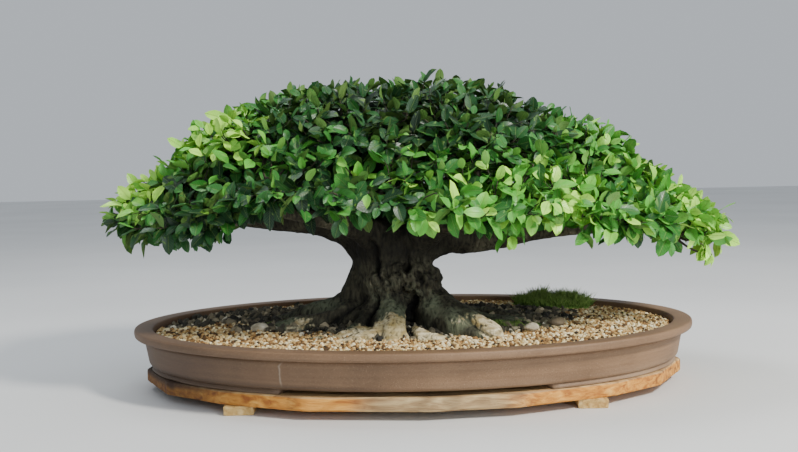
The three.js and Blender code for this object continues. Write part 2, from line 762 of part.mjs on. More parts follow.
const outerBox = new THREE.Box3().setFromObject(plant);
const middleOfBox = outerBox.getCenter(new THREE.Vector3());
plant.position.set(-middleOfBox.x, -middleOfBox.y, 0);

export default plant;
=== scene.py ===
import math

import bpy
import numpy as np
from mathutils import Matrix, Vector


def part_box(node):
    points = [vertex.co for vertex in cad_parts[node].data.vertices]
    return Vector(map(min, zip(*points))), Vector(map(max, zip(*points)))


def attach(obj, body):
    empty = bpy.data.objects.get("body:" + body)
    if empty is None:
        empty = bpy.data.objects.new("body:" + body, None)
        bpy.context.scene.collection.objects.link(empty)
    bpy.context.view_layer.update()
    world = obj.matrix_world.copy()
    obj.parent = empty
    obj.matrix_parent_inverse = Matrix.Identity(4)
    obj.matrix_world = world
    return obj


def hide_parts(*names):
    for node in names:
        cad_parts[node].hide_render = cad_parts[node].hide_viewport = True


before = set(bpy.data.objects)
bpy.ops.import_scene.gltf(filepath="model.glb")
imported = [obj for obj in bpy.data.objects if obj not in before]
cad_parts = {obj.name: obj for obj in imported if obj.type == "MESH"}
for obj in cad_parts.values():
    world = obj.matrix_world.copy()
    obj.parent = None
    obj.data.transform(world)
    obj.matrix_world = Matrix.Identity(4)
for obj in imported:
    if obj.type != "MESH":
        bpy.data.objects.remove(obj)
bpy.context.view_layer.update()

# Lengths are millimetres from the pot's middle while a piece is worked out, and metres in its mesh.
MM = 0.001
pot_low, pot_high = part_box("pot")
POT_MIDDLE = np.array([(pot_low.x + pot_high.x) / 2, (pot_low.y + pot_high.y) / 2, 0.0])
SEED = 20417
GOLDEN_TURN = math.pi * (3 - math.sqrt(5))
UP = np.array([0.0, 0.0, 1.0])

# Heights over the floor.
BOARD_BOTTOM = 12.0
BOARD_TOP = 30.0
POT_UNDERSIDE = 36.0
POT_FLOOR = 45.0
GROUND = 83.0
POT_RIM = 88.0
# Half the lip's outer oval along x and y, and how far inside it the soil meets the wall.
POT_HALF = np.array([400.0, 270.0])
FILL_INSET = 27.4
# Where round the pot a foot starts and ends, and the drain holes' radius and distance from the middle.
FOOT_SPAN = (math.radians(12), math.radians(63))
DRAIN_RADIUS = 13.0
DRAIN_PLACE = 175
# Ovals on the ground as x and y of the middle, half length and half width: the root pad, the dark
# ground to its right, at the left rear and in front, and the moss mound. The dark ground at the left rear
# is partly mulch and partly painted shade.
ROOT_PAD = (-45, 8, 232, 122)
DARK_OVALS = [(106, 12, 124, 120), (-272, 78, 150, 86), (-22, -96, 96, 56)]
MOSS_MOUND = (222, 112, 60, 32)


def aim(thing, target, roll=0.0):
    """Turns a camera or light to look at the target, then rolls it about its own line of sight."""
    towards = Vector(target) - thing.location
    turn = towards.to_track_quat("-Z", "Y").to_matrix().to_4x4()
    thing.rotation_euler = turn.to_euler()
    thing.rotation_euler.rotate_axis("Z", roll)


def linked(name, data):
    """A new object in the scene for a mesh, a light or a camera."""
    thing = bpy.data.objects.new(name, data)
    bpy.context.scene.collection.objects.link(thing)
    return thing


def photograph_camera():
    """The camera that fits the pot's rim and the uprights behind it in the photograph."""
    data = bpy.data.cameras.new("photograph_camera")
    data.lens = 44.57
    data.sensor_width = 36.0
    data.clip_end = 60.0
    camera = linked("photograph_camera", data)
    camera.location = (POT_MIDDLE[0] - 0.017, POT_MIDDLE[1] - 1.428, 0.312)
    tilt = math.radians(3.57)
    roll = math.radians(-1.17)
    target = camera.location + Vector((0.0, math.cos(tilt), -math.sin(tilt)))
    aim(camera, target, roll)
    bpy.context.scene.camera = camera


def soft_light(name, place, target, size, power, tint):
    """A round area light, its size in metres and its power in watts."""
    data = bpy.data.lights.new(name, "AREA")
    data.shape = "DISK"
    data.size = size
    data.energy = power
    data.color = tint
    light = linked(name, data)
    light.location = place
    aim(light, target)


def studio():
    """An even pale sky, a warm key light from the front right and two larger, weaker lights."""
    world = bpy.data.worlds.new("studio")
    world.use_nodes = True
    background = world.node_tree.nodes["Background"]
    background.inputs["Color"].default_value = (0.80, 0.86, 0.93, 1.0)
    background.inputs["Strength"].default_value = 0.66
    bpy.context.scene.world = world
    soft_light("key", (1.7, -1.5, 2.0), (0.0, 0.0, 0.2), 0.45, 105.0, (1.0, 0.96, 0.88))
    soft_light("sky", (-0.9, 0.5, 2.4), (0.0, 0.0, 0.3), 1.2, 26.0, (0.95, 0.98, 1.0))
    soft_light("fill", (1.0, -2.2, 0.66), (0.0, 0.0, 0.12), 0.9, 15.0, (0.97, 0.98, 1.0))


class Number:
    """A number that varies over a surface. Arithmetic on it adds the Math nodes that work it out."""

    def __init__(self, finish, socket):
        self.finish = finish
        self.socket = socket

    def joined(self, operation, first, second=0.0):
        node = self.finish.add("ShaderNodeMath", {"operation": operation}, {0: first, 1: second})
        return Number(self.finish, node.outputs[0])

    def __add__(self, other):
        return self.joined("ADD", self, other)

    def __sub__(self, other):
        return self.joined("SUBTRACT", self, other)

    def __mul__(self, other):
        return self.joined("MULTIPLY", self, other)

    def __rsub__(self, other):
        return self.joined("SUBTRACT", other, self)

    def __abs__(self):
        return self.joined("ABSOLUTE", self)

    def __mod__(self, other):
        return self.joined("FLOORED_MODULO", self, other)

    __radd__ = __add__

    def between(self, low, high):
        """0 at low, 1 at high and smooth between, whichever of the two is larger."""
        settings = {"interpolation_type": "SMOOTHSTEP"}
        node = self.finish.add("ShaderNodeMapRange", settings, {0: self, 1: low, 2: high})
        return Number(self.finish, node.outputs[0])


def colour(text):
    """A colour written as six sRGB digits, as the linear red, green, blue and alpha of a socket."""
    parts = np.array([int(text[i:i + 2], 16) for i in (0, 2, 4)]) / 255
    linear = np.where(parts <= 0.04045, parts / 12.92, ((parts + 0.055) / 1.055) ** 2.4)
    return (*linear.tolist(), 1.0)


class Finish:
    """One material: a principled surface whose colour, roughness and relief are worked out by nodes."""

    def __init__(self, name, **constants):
        self.material = bpy.data.materials.new(name)
        self.material.use_nodes = True
        self.tree = self.material.node_tree
        self.surface = self.tree.nodes["Principled BSDF"]
        for socket, value in constants.items():
            self.surface.inputs[socket.replace("_", " ")].default_value = value
        self.place = self.add("ShaderNodeTexCoord").outputs["Object"]

    def add(self, kind, settings=None, inputs=None):
        """A node of a kind: its settings first, then the values or links of its sockets."""
        node = self.tree.nodes.new(kind)
        for key, value in (settings or {}).items():
            if key == "stops":
                self.set_stops(node.color_ramp, value)
            else:
                setattr(node, key, value)
        for key, value in (inputs or {}).items():
            self.feed(node.inputs[key], value)
        return node

    def feed(self, socket, value):
        """Links a number or a socket to the socket, or sets it to a constant or a colour."""
        if isinstance(value, Number):
            value = value.socket
        if isinstance(value, str):
            value = colour(value)
        if isinstance(value, bpy.types.NodeSocket):
            self.tree.links.new(value, socket)
        else:
            socket.default_value = value

    def set_stops(self, ramp, stops):
        """Gives a colour ramp its stops, each a position and a colour."""
        while len(ramp.elements) < len(stops):
            ramp.elements.new(0.5)
        for element, (position, text) in zip(ramp.elements, stops):
            element.position = position
            element.color = colour(text)

    def stretched(self, scale):
        """The surface's own coordinates, scaled along x, y and z."""
        return self.add("ShaderNodeMapping", {}, {"Vector": self.place, "Scale": scale}).outputs[0]

    def noise(self, scale, detail, place=None, distortion=0.0):
        """Smooth chance from 0 to 1, in lumps about 1 / scale metres long."""
        inputs = {"Vector": place or self.place, "Scale": scale, "Detail": detail}
        inputs["Distortion"] = distortion
        return Number(self, self.add("ShaderNodeTexNoise", {}, inputs).outputs["Fac"])

    def cells(self, scale, place=None):
        """The distance to the nearest of many points that lie about 1 / scale metres apart."""
        inputs = {"Vector": place or self.place, "Scale": scale}
        return Number(self, self.add("ShaderNodeTexVoronoi", {}, inputs).outputs["Distance"])

    def attribute(self, name):
        """A number that the mesh carries for each point or corner."""
        return Number(self, self.add("ShaderNodeAttribute", {"attribute_name": name}).outputs["Fac"])

    def axis(self, name, place=None):
        """One coordinate of a place."""
        node = self.add("ShaderNodeSeparateXYZ", {}, {0: place or self.place})
        return Number(self, node.outputs[name])

    def ramp(self, number, stops):
        """The colour that the stops give for a number."""
        return self.add("ShaderNodeValToRGB", {"stops": stops}, {0: number}).outputs[0]

    def mix(self, share, first, second):
        """The first colour at share 0 and the second at share 1."""
        inputs = {0: share, 6: first, 7: second}
        return self.add("ShaderNodeMix", {"data_type": "RGBA"}, inputs).outputs[2]

    def finish(self, base, roughness, relief=None, depth=0.0):
        """Feeds the surface: its colour, its roughness and a relief of a depth in metres."""
        self.feed(self.surface.inputs["Base Color"], base)
        self.feed(self.surface.inputs["Roughness"], roughness)
        if relief is not None:
            node = self.add("ShaderNodeBump", {}, {"Height": relief, "Distance": depth, "Strength": 1.0})
            self.feed(self.surface.inputs["Normal"], node.outputs[0])
        return self.material


def leaf_material():
    """Glossy dark green above with a pale midrib, duller and yellower beneath, young leaves light."""
    made = Finish("ficus_leaf", Specular_IOR_Level=0.42)
    uv = made.add("ShaderNodeUVMap", {"uv_map": "leaf"}).outputs[0]
    off_rib = abs(made.axis("X", uv) * 2 - 1)
    along = made.axis("Y", uv)
    # Each leaf's tone holds its age and also painted sunlight and shade.
    tone = made.attribute("tone")
    beneath = made.attribute("beneath")
    mottle = made.noise(55.0, 2.0)
    green = made.ramp(
        tone + (mottle - 0.5) * 0.25,
        [(0.0, "0e2618"), (0.25, "184421"), (0.5, "2f752b"), (0.75, "5db43e"), (1.0, "bcf65c")],
    )
    rib = 1 - off_rib.between(0.02, 0.09)
    vein_place = (along * 9 - off_rib * 2.2) % 1
    vein = (1 - abs(vein_place - 0.5).between(0.03, 0.16)) * (1 - off_rib.between(0.75, 1.0))
    top = made.mix(rib * (0.16 + tone * 0.3) + vein * 0.06, green, "a4bd6a")
    under = made.mix(rib * 0.4 + 0.36, green, "88b050")
    shade = made.mix(beneath, top, under)
    roughness = 0.30 + beneath * 0.28 + mottle * 0.14
    relief = mottle * 0.25 - rib * 0.6 - vein * 0.35
    return made.finish(shade, roughness, relief, 0.0009)


def bark_material():
    """Dark grey-brown bark, finely wrinkled along the grain, lichen green low down, pale patches on the
    roots, and painted shade in the hollows, the crevices and under the leaves.
    """
    made = Finish("ficus_bark", Specular_IOR_Level=0.35)
    pale = made.attribute("pale")
    mossy = made.attribute("mossy")
    burl = made.attribute("burl")
    crack = made.attribute("crack")
    upright = made.stretched((1.0, 1.0, 0.3))
    level = made.stretched((0.35, 0.35, 1.0))
    broad = made.noise(24.0, 5.0)
    fine = made.noise(260.0, 4.0, upright)
    wrinkles = made.noise(190.0, 3.0, level)
    pits = made.cells(150.0).between(0.15, 0.55)
    wood = made.ramp(
        broad * 0.55 + fine * 0.45,
        [(0.30, "1b1b15"), (0.45, "333126"), (0.57, "4e4c3c"), (0.72, "747160")],
    )
    green = made.mix(fine, "434a38", "7e846b")
    wood = made.mix((mossy + burl * 0.2 + (broad - 0.5) * 2).between(0.35, 0.95), wood, green)
    pale_colour = made.mix(wrinkles.between(0.3, 0.72), "94835c", "e6dcba")
    pale_colour = made.mix(broad.between(0.56, 0.42) * 0.6, pale_colour, "9c8a55")
    patch = (pale + (broad - 0.5) * 1.7 + (fine - 0.5) * 0.9).between(0.40, 0.62)
    wood = made.mix(patch, wood, pale_colour)
    # Painted shade in the low places of the grain and in the pits of the burls.
    hollow_shade = fine.between(0.46, 0.34) * 0.6 + (1 - pits) * burl * 0.6
    wood = made.mix(hollow_shade, wood, "15120e")
    # Painted shade, nearly black, in the crevices and on the upper trunk under the leaves.
    wood = made.mix(crack, wood, "0b0a08")
    relief = fine * 0.7 + wrinkles * 0.45 + broad * 0.4 + pits * burl * 0.9
    return made.finish(wood, 0.8 + fine * 0.12, relief, 0.003)


def clouded_material(name, scale, detail, stops, roughness, spread, depth):
    """One noise gives a surface its colour, its roughness and its relief."""
    made = Finish(name)
    clouds = made.noise(scale, detail)
    return made.finish(made.ramp(clouds, stops), roughness + clouds * spread, clouds, depth)


def twig_material():
    """Dark brown, finely grained bark."""
    stops = [(0.3, "1c1912"), (0.5, "332d20"), (0.72, "4f4834")]
    return clouded_material("twig_bark", 160.0, 3.0, stops, 0.7, 0.15, 0.0008)


def stoneware_material():
    """Unglazed brown stoneware: faint turning lines, fine dark and light specks, one lime run, dust low
    down, and painted shade towards the left end and under it.
    """
    made = Finish("brown_stoneware", Specular_IOR_Level=0.45)
    clouds = made.noise(9.0, 4.0)
    specks = made.noise(900.0, 2.0)
    turned = made.noise(60.0, 3.0, made.stretched((0.12, 0.12, 5.0)))
    x = made.axis("X")
    y = made.axis("Y")
    z = made.axis("Z")
    body = made.ramp(clouds * 0.75 + turned * 0.25, [(0.3, "664e38"), (0.5, "7d6147"), (0.7, "917356")])
    body = made.mix(specks.between(0.60, 0.72) * 0.5, body, "b0957a")
    body = made.mix(specks.between(0.40, 0.30) * 0.5, body, "3d2c22")
    wander = made.noise(40.0, 3.0) * 0.012 - 0.006
    hook = z.between(0.066, 0.078) * 0.009
    off_run = abs(x + 0.1825 + wander * 0.8 + (z - 0.05) * 0.05 - hook)
    run_height = z.between(0.038, 0.05) * z.between(0.078, 0.066)
    run = (1 - off_run.between(0.0004, 0.0020)) * run_height * y.between(0.0, -0.02)
    lime = run * made.noise(240.0, 3.0).between(0.3, 0.52)
    # Painted shade: darker towards the left end, less so on the lip, which is painted as lit there.
    body = made.mix(x.between(-0.06, -0.36) * (0.60 - z.between(0.074, 0.084) * 0.28), body, "453428")
    # Painted shade on the top of the lip towards the left.
    body = made.mix(z.between(0.076, 0.082) * x.between(-0.25, 0.0) * 0.14, body, "4a3a2e")
    body = made.mix(lime * 0.27, body, "cfc5b4")
    dust = (1 - z.between(0.031, 0.052)) * clouds.between(0.35, 0.65)
    # Light dust low on the wall; it is made stronger towards the right, which is painted light.
    body = made.mix(dust * (0.12 + x.between(0.0, 0.1) * 0.2), body, "a3917a")
    # Painted shade on the bottom of the wall and the feet towards the left.
    foot = (1 - z.between(0.040, 0.047)) * x.between(-0.04, -0.12)
    body = made.mix(foot * 0.5, body, "3a2c20")
    roughness = 0.5 + clouds * 0.16 + lime * 0.2
    return made.finish(body, roughness, specks * 0.5 + turned * 0.35 + lime, 0.0006)


def soil_material():
    """Dark, crumbly earth."""
    made = Finish("potting_soil")
    grains = made.cells(300.0)
    clods = made.noise(70.0, 5.0)
    dark = made.ramp(clods, [(0.3, "17130e"), (0.55, "2f271d"), (0.75, "4b3f2f")])
    return made.finish(dark, 0.95, clods + grains * 0.6, 0.004)


def crumb_material(name, scale, detail, stops, swing, roughness, spread, depth):
    """Each crumb has its own tone, which its grit varies a little."""
    made = Finish(name)
    grit = made.noise(scale, detail)
    shade = made.ramp(made.attribute("tone") + (grit - 0.5) * swing, stops)
    return made.finish(shade, roughness + grit * spread, grit, depth)


def gravel_material():
    """From nearly black through tan and orange to cream."""
    stops = [(0.0, "241c15"), (0.14, "644a2e"), (0.36, "a47d4b"), (0.56, "c5a067"), (0.78, "dec48c"),
             (1.0, "f6eac2")]
    return crumb_material("sieved_gravel", 700.0, 3.0, stops, 0.16, 0.85, 0.1, 0.0006)


def mulch_material():
    """From nearly black to cream, mostly dark."""
    stops = [(0.0, "23221e"), (0.35, "524e41"), (0.6, "887e66"), (0.85, "bdb092"), (1.0, "f6efd8")]
    return crumb_material("dark_mulch", 420.0, 4.0, stops, 0.2, 0.9, 0.0, 0.0014)


def moss_material():
    """Each shoot is lighter towards its tip."""
    made = Finish("moss")
    tone = made.attribute("tone")
    grit = made.noise(260.0, 4.0)
    green = made.ramp(
        tone * 0.7 + grit * 0.3,
        [(0.15, "40582c"), (0.4, "6a9040"), (0.62, "8db352"), (0.85, "b4ce74")],
    )
    return made.finish(green, 0.85, grit, 0.002)


def stone_material():
    """Pale, pitted stone, browner where a stone is dull."""
    made = Finish("pale_stone")
    clouds = made.noise(70.0, 5.0)
    pits = made.cells(380.0)
    grey = made.ramp(clouds, [(0.3, "8d8268"), (0.5, "c4baa0"), (0.7, "e4dcc8")])
    grey = made.mix(made.attribute("dull"), grey, "6b5a45")
    return made.finish(grey, 0.85, clouds + pits * 0.3, 0.002)


def board_material():
    """A weathered plank: grey and worn on top and in the middle, orange at the freshly cut ends, darker
    at the left end, partly stain and partly painted shade.
    """
    made = Finish("sawn_board")
    along = made.stretched((0.12, 1.0, 1.0))
    x = made.axis("X")
    z = made.axis("Z")
    rings = made.noise(150.0, 4.0, along, 0.6)
    grain = made.noise(520.0, 4.0, along)
    broad = made.noise(14.0, 3.0)
    fresh = made.ramp(rings, [(0.3, "96551f"), (0.48, "c28232"), (0.62, "d99b45"), (0.78, "e8b661")])
    worn = made.ramp(rings, [(0.3, "7b6243"), (0.5, "a98d65"), (0.7, "ccb485")])
    ends = abs(x - 0.008 + (broad - 0.5) * 0.12).between(0.06, 0.13)
    top = z.between(0.0272, 0.0292)
    wood = made.mix(ends * (1 - top * 0.8), worn, fresh)
    knots = made.cells(36.0, made.stretched((1.0, 1.0, 1.4)))
    knot = (1 - knots.between(0.14, 0.40)) * x.between(-0.26, -0.31)
    wood = made.mix(knot * 0.85, wood, "38210f")
    splinter = x.between(0.28, 0.34) * rings.between(0.45, 0.35)
    wood = made.mix(splinter * 0.75, wood, "3d352b")
    stain = broad.between(0.58, 0.72)
    wood = made.mix(stain * 0.35, wood, "4a3a28")
    # Darker at the left end, most near the top of the edge: partly stain, partly painted shade.
    wood = made.mix(x.between(-0.20, -0.33) * (0.68 + z.between(0.020, 0.027) * 0.26), wood, "311f11")
    return made.finish(wood, 0.68 + grain * 0.2, rings * 0.7 + grain * 0.5 - knot * 0.5, 0.0016)


def batten_material():
    """Raw pale wood, rough from the saw."""
    made = Finish("rough_batten")
    along = made.stretched((1.0, 0.1, 1.0))
    rings = made.noise(120.0, 4.0, along, 0.5)
    fuzz = made.noise(600.0, 3.0, along)
    wood = made.ramp(rings, [(0.3, "9a7540"), (0.5, "c5a263"), (0.7, "dcc188")])
    return made.finish(wood, 0.78 + fuzz * 0.12, rings + fuzz * 0.7, 0.0014)


def plastic_mesh_material():
    """Black plastic under a thin veil of dust."""
    stops = [(0.35, "151715"), (0.7, "3b3e39")]
    return clouded_material("black_plastic_mesh", 120.0, 4.0, stops, 0.45, 0.3, 0.0004)


def floor_material():
    """A plain pale floor, faintly clouded."""
    made = Finish("pale_floor")
    clouds = made.noise(1.6, 2.0)
    pale = made.ramp(clouds, [(0.3, "d3d4d4"), (0.7, "dbdcdc")])
    return made.finish(pale, 0.9)


def unit(vectors):
    """The vectors at length 1."""
    length = np.linalg.norm(vectors, axis=-1, keepdims=True)
    return vectors / np.maximum(length, 1e-9)


def xyz(x, y, z):
    """Points from their three coordinates, each a number or a grid of numbers."""
    return np.stack(np.broadcast_arrays(x, y, z), -1)


def full_turn(count):
    """Even angles round a full turn."""
    return 2 * math.pi * np.arange(count) / count


def bump(*distances):
    """1 in the middle and less all round: e to the minus sum of the squares of the distances."""
    return np.exp(-sum(distance ** 2 for distance in distances))


def smooth(values, low, high):
    """0 below low, 1 above high, and 3 t squared less 2 t cubed between."""
    share = np.clip((values - low) / (high - low), 0, 1)
    return share * share * (3 - 2 * share)


def lumps(points, size, seed):
    """Smooth chance from -1 to 1: one number for each corner of a cubic lattice of the given size,
    blended between the eight corners round each point."""
    scaled = np.asarray(points, float) / size
    cell = np.floor(scaled).astype(np.int64)
    share = scaled - cell
    share = share * share * (3 - 2 * share)
    total = np.zeros(scaled.shape[:-1])
    for corner in np.ndindex(2, 2, 2):
        key = (cell + corner) @ np.array([73856093, 19349663, 83492791]) + 7919 * seed
        key = ((key ^ (key >> 13)) * 1274126177) & 0x7FFFFFFF
        key = ((key ^ (key >> 11)) * 668265263) & 0x7FFFFFFF
        number = ((key >> 8) & 0xFFFF) / 32767.5 - 1
        weight = np.prod(np.where(np.array(corner) == 1, share, 1 - share), axis=-1)
        total += weight * number
    return total


def smooth_path(points, count):
    """A Catmull-Rom curve through the points at count even steps. A fourth number is a radius."""
    points = np.asarray(points, float)
    ends = np.vstack([2 * points[0] - points[1], points, 2 * points[-1] - points[-2]])
    t = np.linspace(0, len(points) - 1, count)
    i = np.minimum(t.astype(int), len(points) - 2)
    s = (t - i)[:, None]
    a, b, c, d = ends[i], ends[i + 1], ends[i + 2], ends[i + 3]
    square = (2 * a - 5 * b + 4 * c - d) * s ** 2
    cube = (3 * b - a - 3 * c + d) * s ** 3
    return 0.5 * (2 * b + (c - a) * s + square + cube)


def ring_faces(count, rings, sides):
    """Quads between neighbouring rings of points and a fan to the pole at each end, for count bodies."""
    start = np.arange(rings - 1)[:, None] * sides
    side = np.arange(sides)
    after = (side + 1) % sides
    quads = np.stack([start + side, start + after, start + sides + after, start + sides + side], -1)
    pole = np.full(sides, rings * sides)
    last = (rings - 1) * sides
    fans = np.concatenate([
        np.stack([pole, after, side], -1),
        np.stack([pole + 1, last + side, last + after], -1),
    ])
    offset = (rings * sides + 2) * np.arange(count)[:, None, None]
    return (quads.reshape(-1, 4) + offset).reshape(-1, 4), (fans + offset).reshape(-1, 3)


def round_body(rings, start, end):
    """One closed body from rings of points (ring, side, xyz) and its two poles."""
    count, sides = rings.shape[:2]
    points = np.vstack([rings.reshape(-1, 3), start, end])
    return (points, *ring_faces(1, count, sides))


def bars(paths, radii, sides):
    """Round bars: each centre line plus its radius times cosine and sine along two directions that are
    square to the line. Both ends close to a point."""
    paths = np.asarray(paths, float)
    tangent = unit(np.gradient(paths, axis=1))
    across = np.eye(3)[np.argmin(np.abs(tangent.mean(axis=1)), axis=1)][:, None, :]
    first = unit(np.cross(tangent, across))
    second = np.cross(tangent, first)
    turn = full_turn(sides)
    out = np.cos(turn)[:, None] * first[:, :, None] + np.sin(turn)[:, None] * second[:, :, None]
    rings = paths[:, :, None] + radii[:, :, None, None] * out
    count, steps = paths.shape[:2]
    start = paths[:, :1] - tangent[:, :1] * radii[:, :1, None] * 0.6
    end = paths[:, -1:] + tangent[:, -1:] * radii[:, -1:, None] * 0.8
    points = np.concatenate([rings.reshape(count, -1, 3), start, end], axis=1)
    return (points.reshape(-1, 3), *ring_faces(count, steps, sides))


def together(*bodies):
    """Several bodies (points, quads, triangles) as one."""
    counts = np.cumsum([0] + [len(body[0]) for body in bodies])
    points = np.vstack([body[0] for body in bodies])
    quads = np.vstack([body[1].reshape(-1, 4) + n for body, n in zip(bodies, counts)])
    triangles = np.vstack([body[2].reshape(-1, 3) + n for body, n in zip(bodies, counts)])
    return points, quads, triangles


def place_points(mesh, points):
    """Puts a mesh's points at places in millimetres from the pot's middle."""
    mesh.vertices.foreach_set("co", (points * MM + POT_MIDDLE).astype(np.float32).ravel())


def give_numbers(mesh, values, domain="POINT"):
    """Adds a number for each point or corner, under the names by which materials read them."""
    for key, numbers in values.items():
        layer = mesh.attributes.new(key, "FLOAT", domain)
        layer.data.foreach_set("value", numbers.astype(np.float32))


def new_mesh(name, points, quads, triangles, values=None, flat=False):
    """A mesh from points in millimetres and its faces. values are numbers for each point."""
    mesh = bpy.data.meshes.new(name)
    corners = np.concatenate([quads.ravel(), triangles.ravel()]).astype(np.int32)
    starts = np.concatenate([4 * np.arange(len(quads)), quads.size + 3 * np.arange(len(triangles))])
    mesh.vertices.add(len(points))
    place_points(mesh, points)
    mesh.loops.add(len(corners))
    mesh.loops.foreach_set("vertex_index", corners)
    mesh.polygons.add(len(starts))
    mesh.polygons.foreach_set("loop_start", starts.astype(np.int32))
    mesh.polygons.foreach_set("use_smooth", np.full(len(starts), not flat))
    mesh.update(calc_edges=True)
    give_numbers(mesh, values or {})
    return mesh


def show(name, mesh, material, replaced):
    """Puts a mesh in the scene as a piece of the plant, in place of the nodes that it replaces."""
    mesh.materials.clear()
    mesh.materials.append(material)
    piece = linked(name, mesh)
    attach(piece, "root")
    if replaced:
        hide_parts(*replaced)


def show_body(name, body, material, replaced, values=None, sharp=180):
    """Shows a body as a piece. Edges that turn by more than sharp degrees stay crisp."""
    mesh = new_mesh(name, *body, values)
    if sharp < 180:
        mesh.set_sharp_from_angle(angle=math.radians(sharp))
    show(name, mesh, material, replaced)


def applied(name, mesh, *modifiers):
    """The mesh after the modifiers, each given as its kind and its settings."""
    carrier = linked(name, mesh)
    for kind, settings in modifiers:
        modifier = carrier.modifiers.new(kind.lower(), kind)
        for key, value in settings.items():
            setattr(modifier, key, value)
    graph = bpy.context.evaluated_depsgraph_get()
    made = bpy.data.meshes.new_from_object(carrier.evaluated_get(graph))
    bpy.data.objects.remove(carrier)
    return made


def points_of(mesh, normals=False):
    """A mesh's points in millimetres from the pot's middle, and the way each faces if asked."""
    flat = np.empty(len(mesh.vertices) * 3, np.float32)
    mesh.vertices.foreach_get("co", flat)
    points = (flat.reshape(-1, 3).astype(float) - POT_MIDDLE) / MM
    if not normals:
        return points
    mesh.vertices.foreach_get("normal", flat)
    return points, flat.reshape(-1, 3).astype(float)


def rounded_profile(corners, steps=4):
    """A line of inset and height whose every corner is turned by a quadratic curve that starts and
    ends at the corner's given distance from it."""
    line = [corners[0][:2]]
    for before, (inset, height, cut), after in zip(corners, corners[1:], corners[2:]):
        corner = np.array([inset, height])
        start = corner + unit(np.array(before[:2]) - corner) * cut
        end = corner + unit(np.array(after[:2]) - corner) * cut
        for t in np.linspace(0, 1, steps):
            line.append((1 - t) ** 2 * start + 2 * t * (1 - t) * corner + t ** 2 * end)
    line.append(corners[-1][:2])
    return np.array(line, float)


def oval(inset, angle):
    """x and y on the pot's oval, drawn in from the lip's outer edge."""
    x = (POT_HALF[0] - inset) * np.cos(angle)
    y = (POT_HALF[1] - inset) * np.sin(angle)
    return x, y


def swept_oval(profile, columns, start, end):
    """The profile carried once round the pot's oval."""
    x, y = oval(profile[:, :1], full_turn(columns)[None, :])
    return round_body(xyz(x, y, profile[:, 1:]), start, end)


def pot_foot(start, end):
    """A short band of the oval with rounded edges, tucked into the pot's underside."""
    outer, inner = 23.0, 69.0
    angle = np.linspace(start, end, 28)
    profile = np.array([
        [outer + 4, POT_UNDERSIDE + 3], [outer + 2, POT_UNDERSIDE - 0.6],
        [outer + 0.8, POT_UNDERSIDE - 2.6], [outer, BOARD_TOP + 1.6], [outer + 2, BOARD_TOP],
        [inner - 2, BOARD_TOP], [inner, BOARD_TOP + 2], [inner, POT_UNDERSIDE + 3],
    ])
    x, y = oval(profile[None, :, 0], angle[:, None])
    rings = xyz(x, y, profile[None, :, 1])
    return round_body(rings, rings[0].mean(axis=0), rings[-1].mean(axis=0))


def make_pot():
    """The pot: a profile of insets and heights, its corners rounded, swept once round the oval, less a
    rod for each drain hole, and a foot under each quarter."""
    profile = rounded_profile([
        (60, POT_UNDERSIDE, 0), (24.5, POT_UNDERSIDE, 3), (20.2, POT_UNDERSIDE + 4, 2.6),
        (14.6, POT_RIM - 17, 2.4), (16.6, POT_RIM - 13.2, 1.2), (11.6, POT_RIM - 12.2, 1.2),
        (1.2, POT_RIM - 11, 2.6), (0, POT_RIM - 5.5, 3), (1.2, POT_RIM - 0.2, 2.4),
        (13, POT_RIM, 4), (26.2, POT_RIM - 0.6, 2.2),
        (27, POT_RIM - 8, 2), (27, POT_FLOOR, 1.5), (60, POT_FLOOR, 0),
    ])
    body = swept_oval(profile, 260, (0, 0, POT_UNDERSIDE), (0, 0, POT_FLOOR))
    low, high = FOOT_SPAN
    spans = [(low, high), (math.pi - high, math.pi - low), (-high, -low), (math.pi + low, math.pi + high)]
    places = (-DRAIN_PLACE, DRAIN_PLACE)
    holes = [[[x, 0, POT_UNDERSIDE - 8], [x, 0, POT_FLOOR + 8]] for x in places]
    rods = bars(holes, np.full((2, 2), DRAIN_RADIUS), 28)
    cutter = linked("drain_rods", new_mesh("drain_rods", *rods))
    drained = applied(
        "stoneware_pot",
        new_mesh("pot_body", *body),
        ("BOOLEAN", {"operation": "DIFFERENCE", "solver": "EXACT", "object": cutter}),
    )
    bpy.data.objects.remove(cutter)
    feet = together(*[pot_foot(*span) for span in spans])
    clay = stoneware_material()
    drained.set_sharp_from_angle(angle=math.radians(50))
    show("stoneware_pot", drained, clay, ["pot"])
    show_body("pot_feet", feet, clay, [])


def oval_share(x, y, middle_x, middle_y, half_length, half_width):
    """How far out a place is from the middle of an oval, with 1 at its edge."""
    return np.hypot((x - middle_x) / half_length, (y - middle_y) / half_width)


def pad_wander(angle):
    """How far the root pad's edge reaches at an angle, as a share of its plain oval."""
    return 1 + 0.07 * np.sin(3 * angle + 1) + 0.05 * np.sin(7 * angle)


def pad_share(x, y):
    """As oval_share, for the root pad with its wandering edge."""
    middle_x, middle_y, half_length, half_width = ROOT_PAD
    angle = np.arctan2((y - middle_y) / half_width, (x - middle_x) / half_length)
    return oval_share(x, y, *ROOT_PAD) / pad_wander(angle)


def dark_share(x, y):
    """As pad_share, for all the dark ground: the pad and the three ovals beside it."""
    beside = [oval_share(x, y, *place) for place in DARK_OVALS]
    return np.minimum.reduce([pad_share(x, y), *beside])


def wall_share(x, y):
    """How far out a place is from the pot's middle, with 1 where the soil meets the wall."""
    return np.hypot(x / (POT_HALF[0] - FILL_INSET), y / (POT_HALF[1] - FILL_INSET))


def soil_height(x, y):
    """Level at the pot's wall, rising to the root pad and domed over it, with small lumps."""
    pad = pad_share(x, y)
    out = np.maximum(pad - 1, 0)
    share = out / (out + 1.3 * np.maximum(1 - wall_share(x, y), 0.001))
    dome = 7 * np.clip(1 - pad ** 2, 0, 1)
    place = xyz(x, y, 0)
    rough = 1.6 * lumps(place, 22, 1) + 0.8 * lumps(place, 9, 2)
    return GROUND - 9 * share + dome + rough * (1 - smooth(wall_share(x, y), 0.9, 1.0))


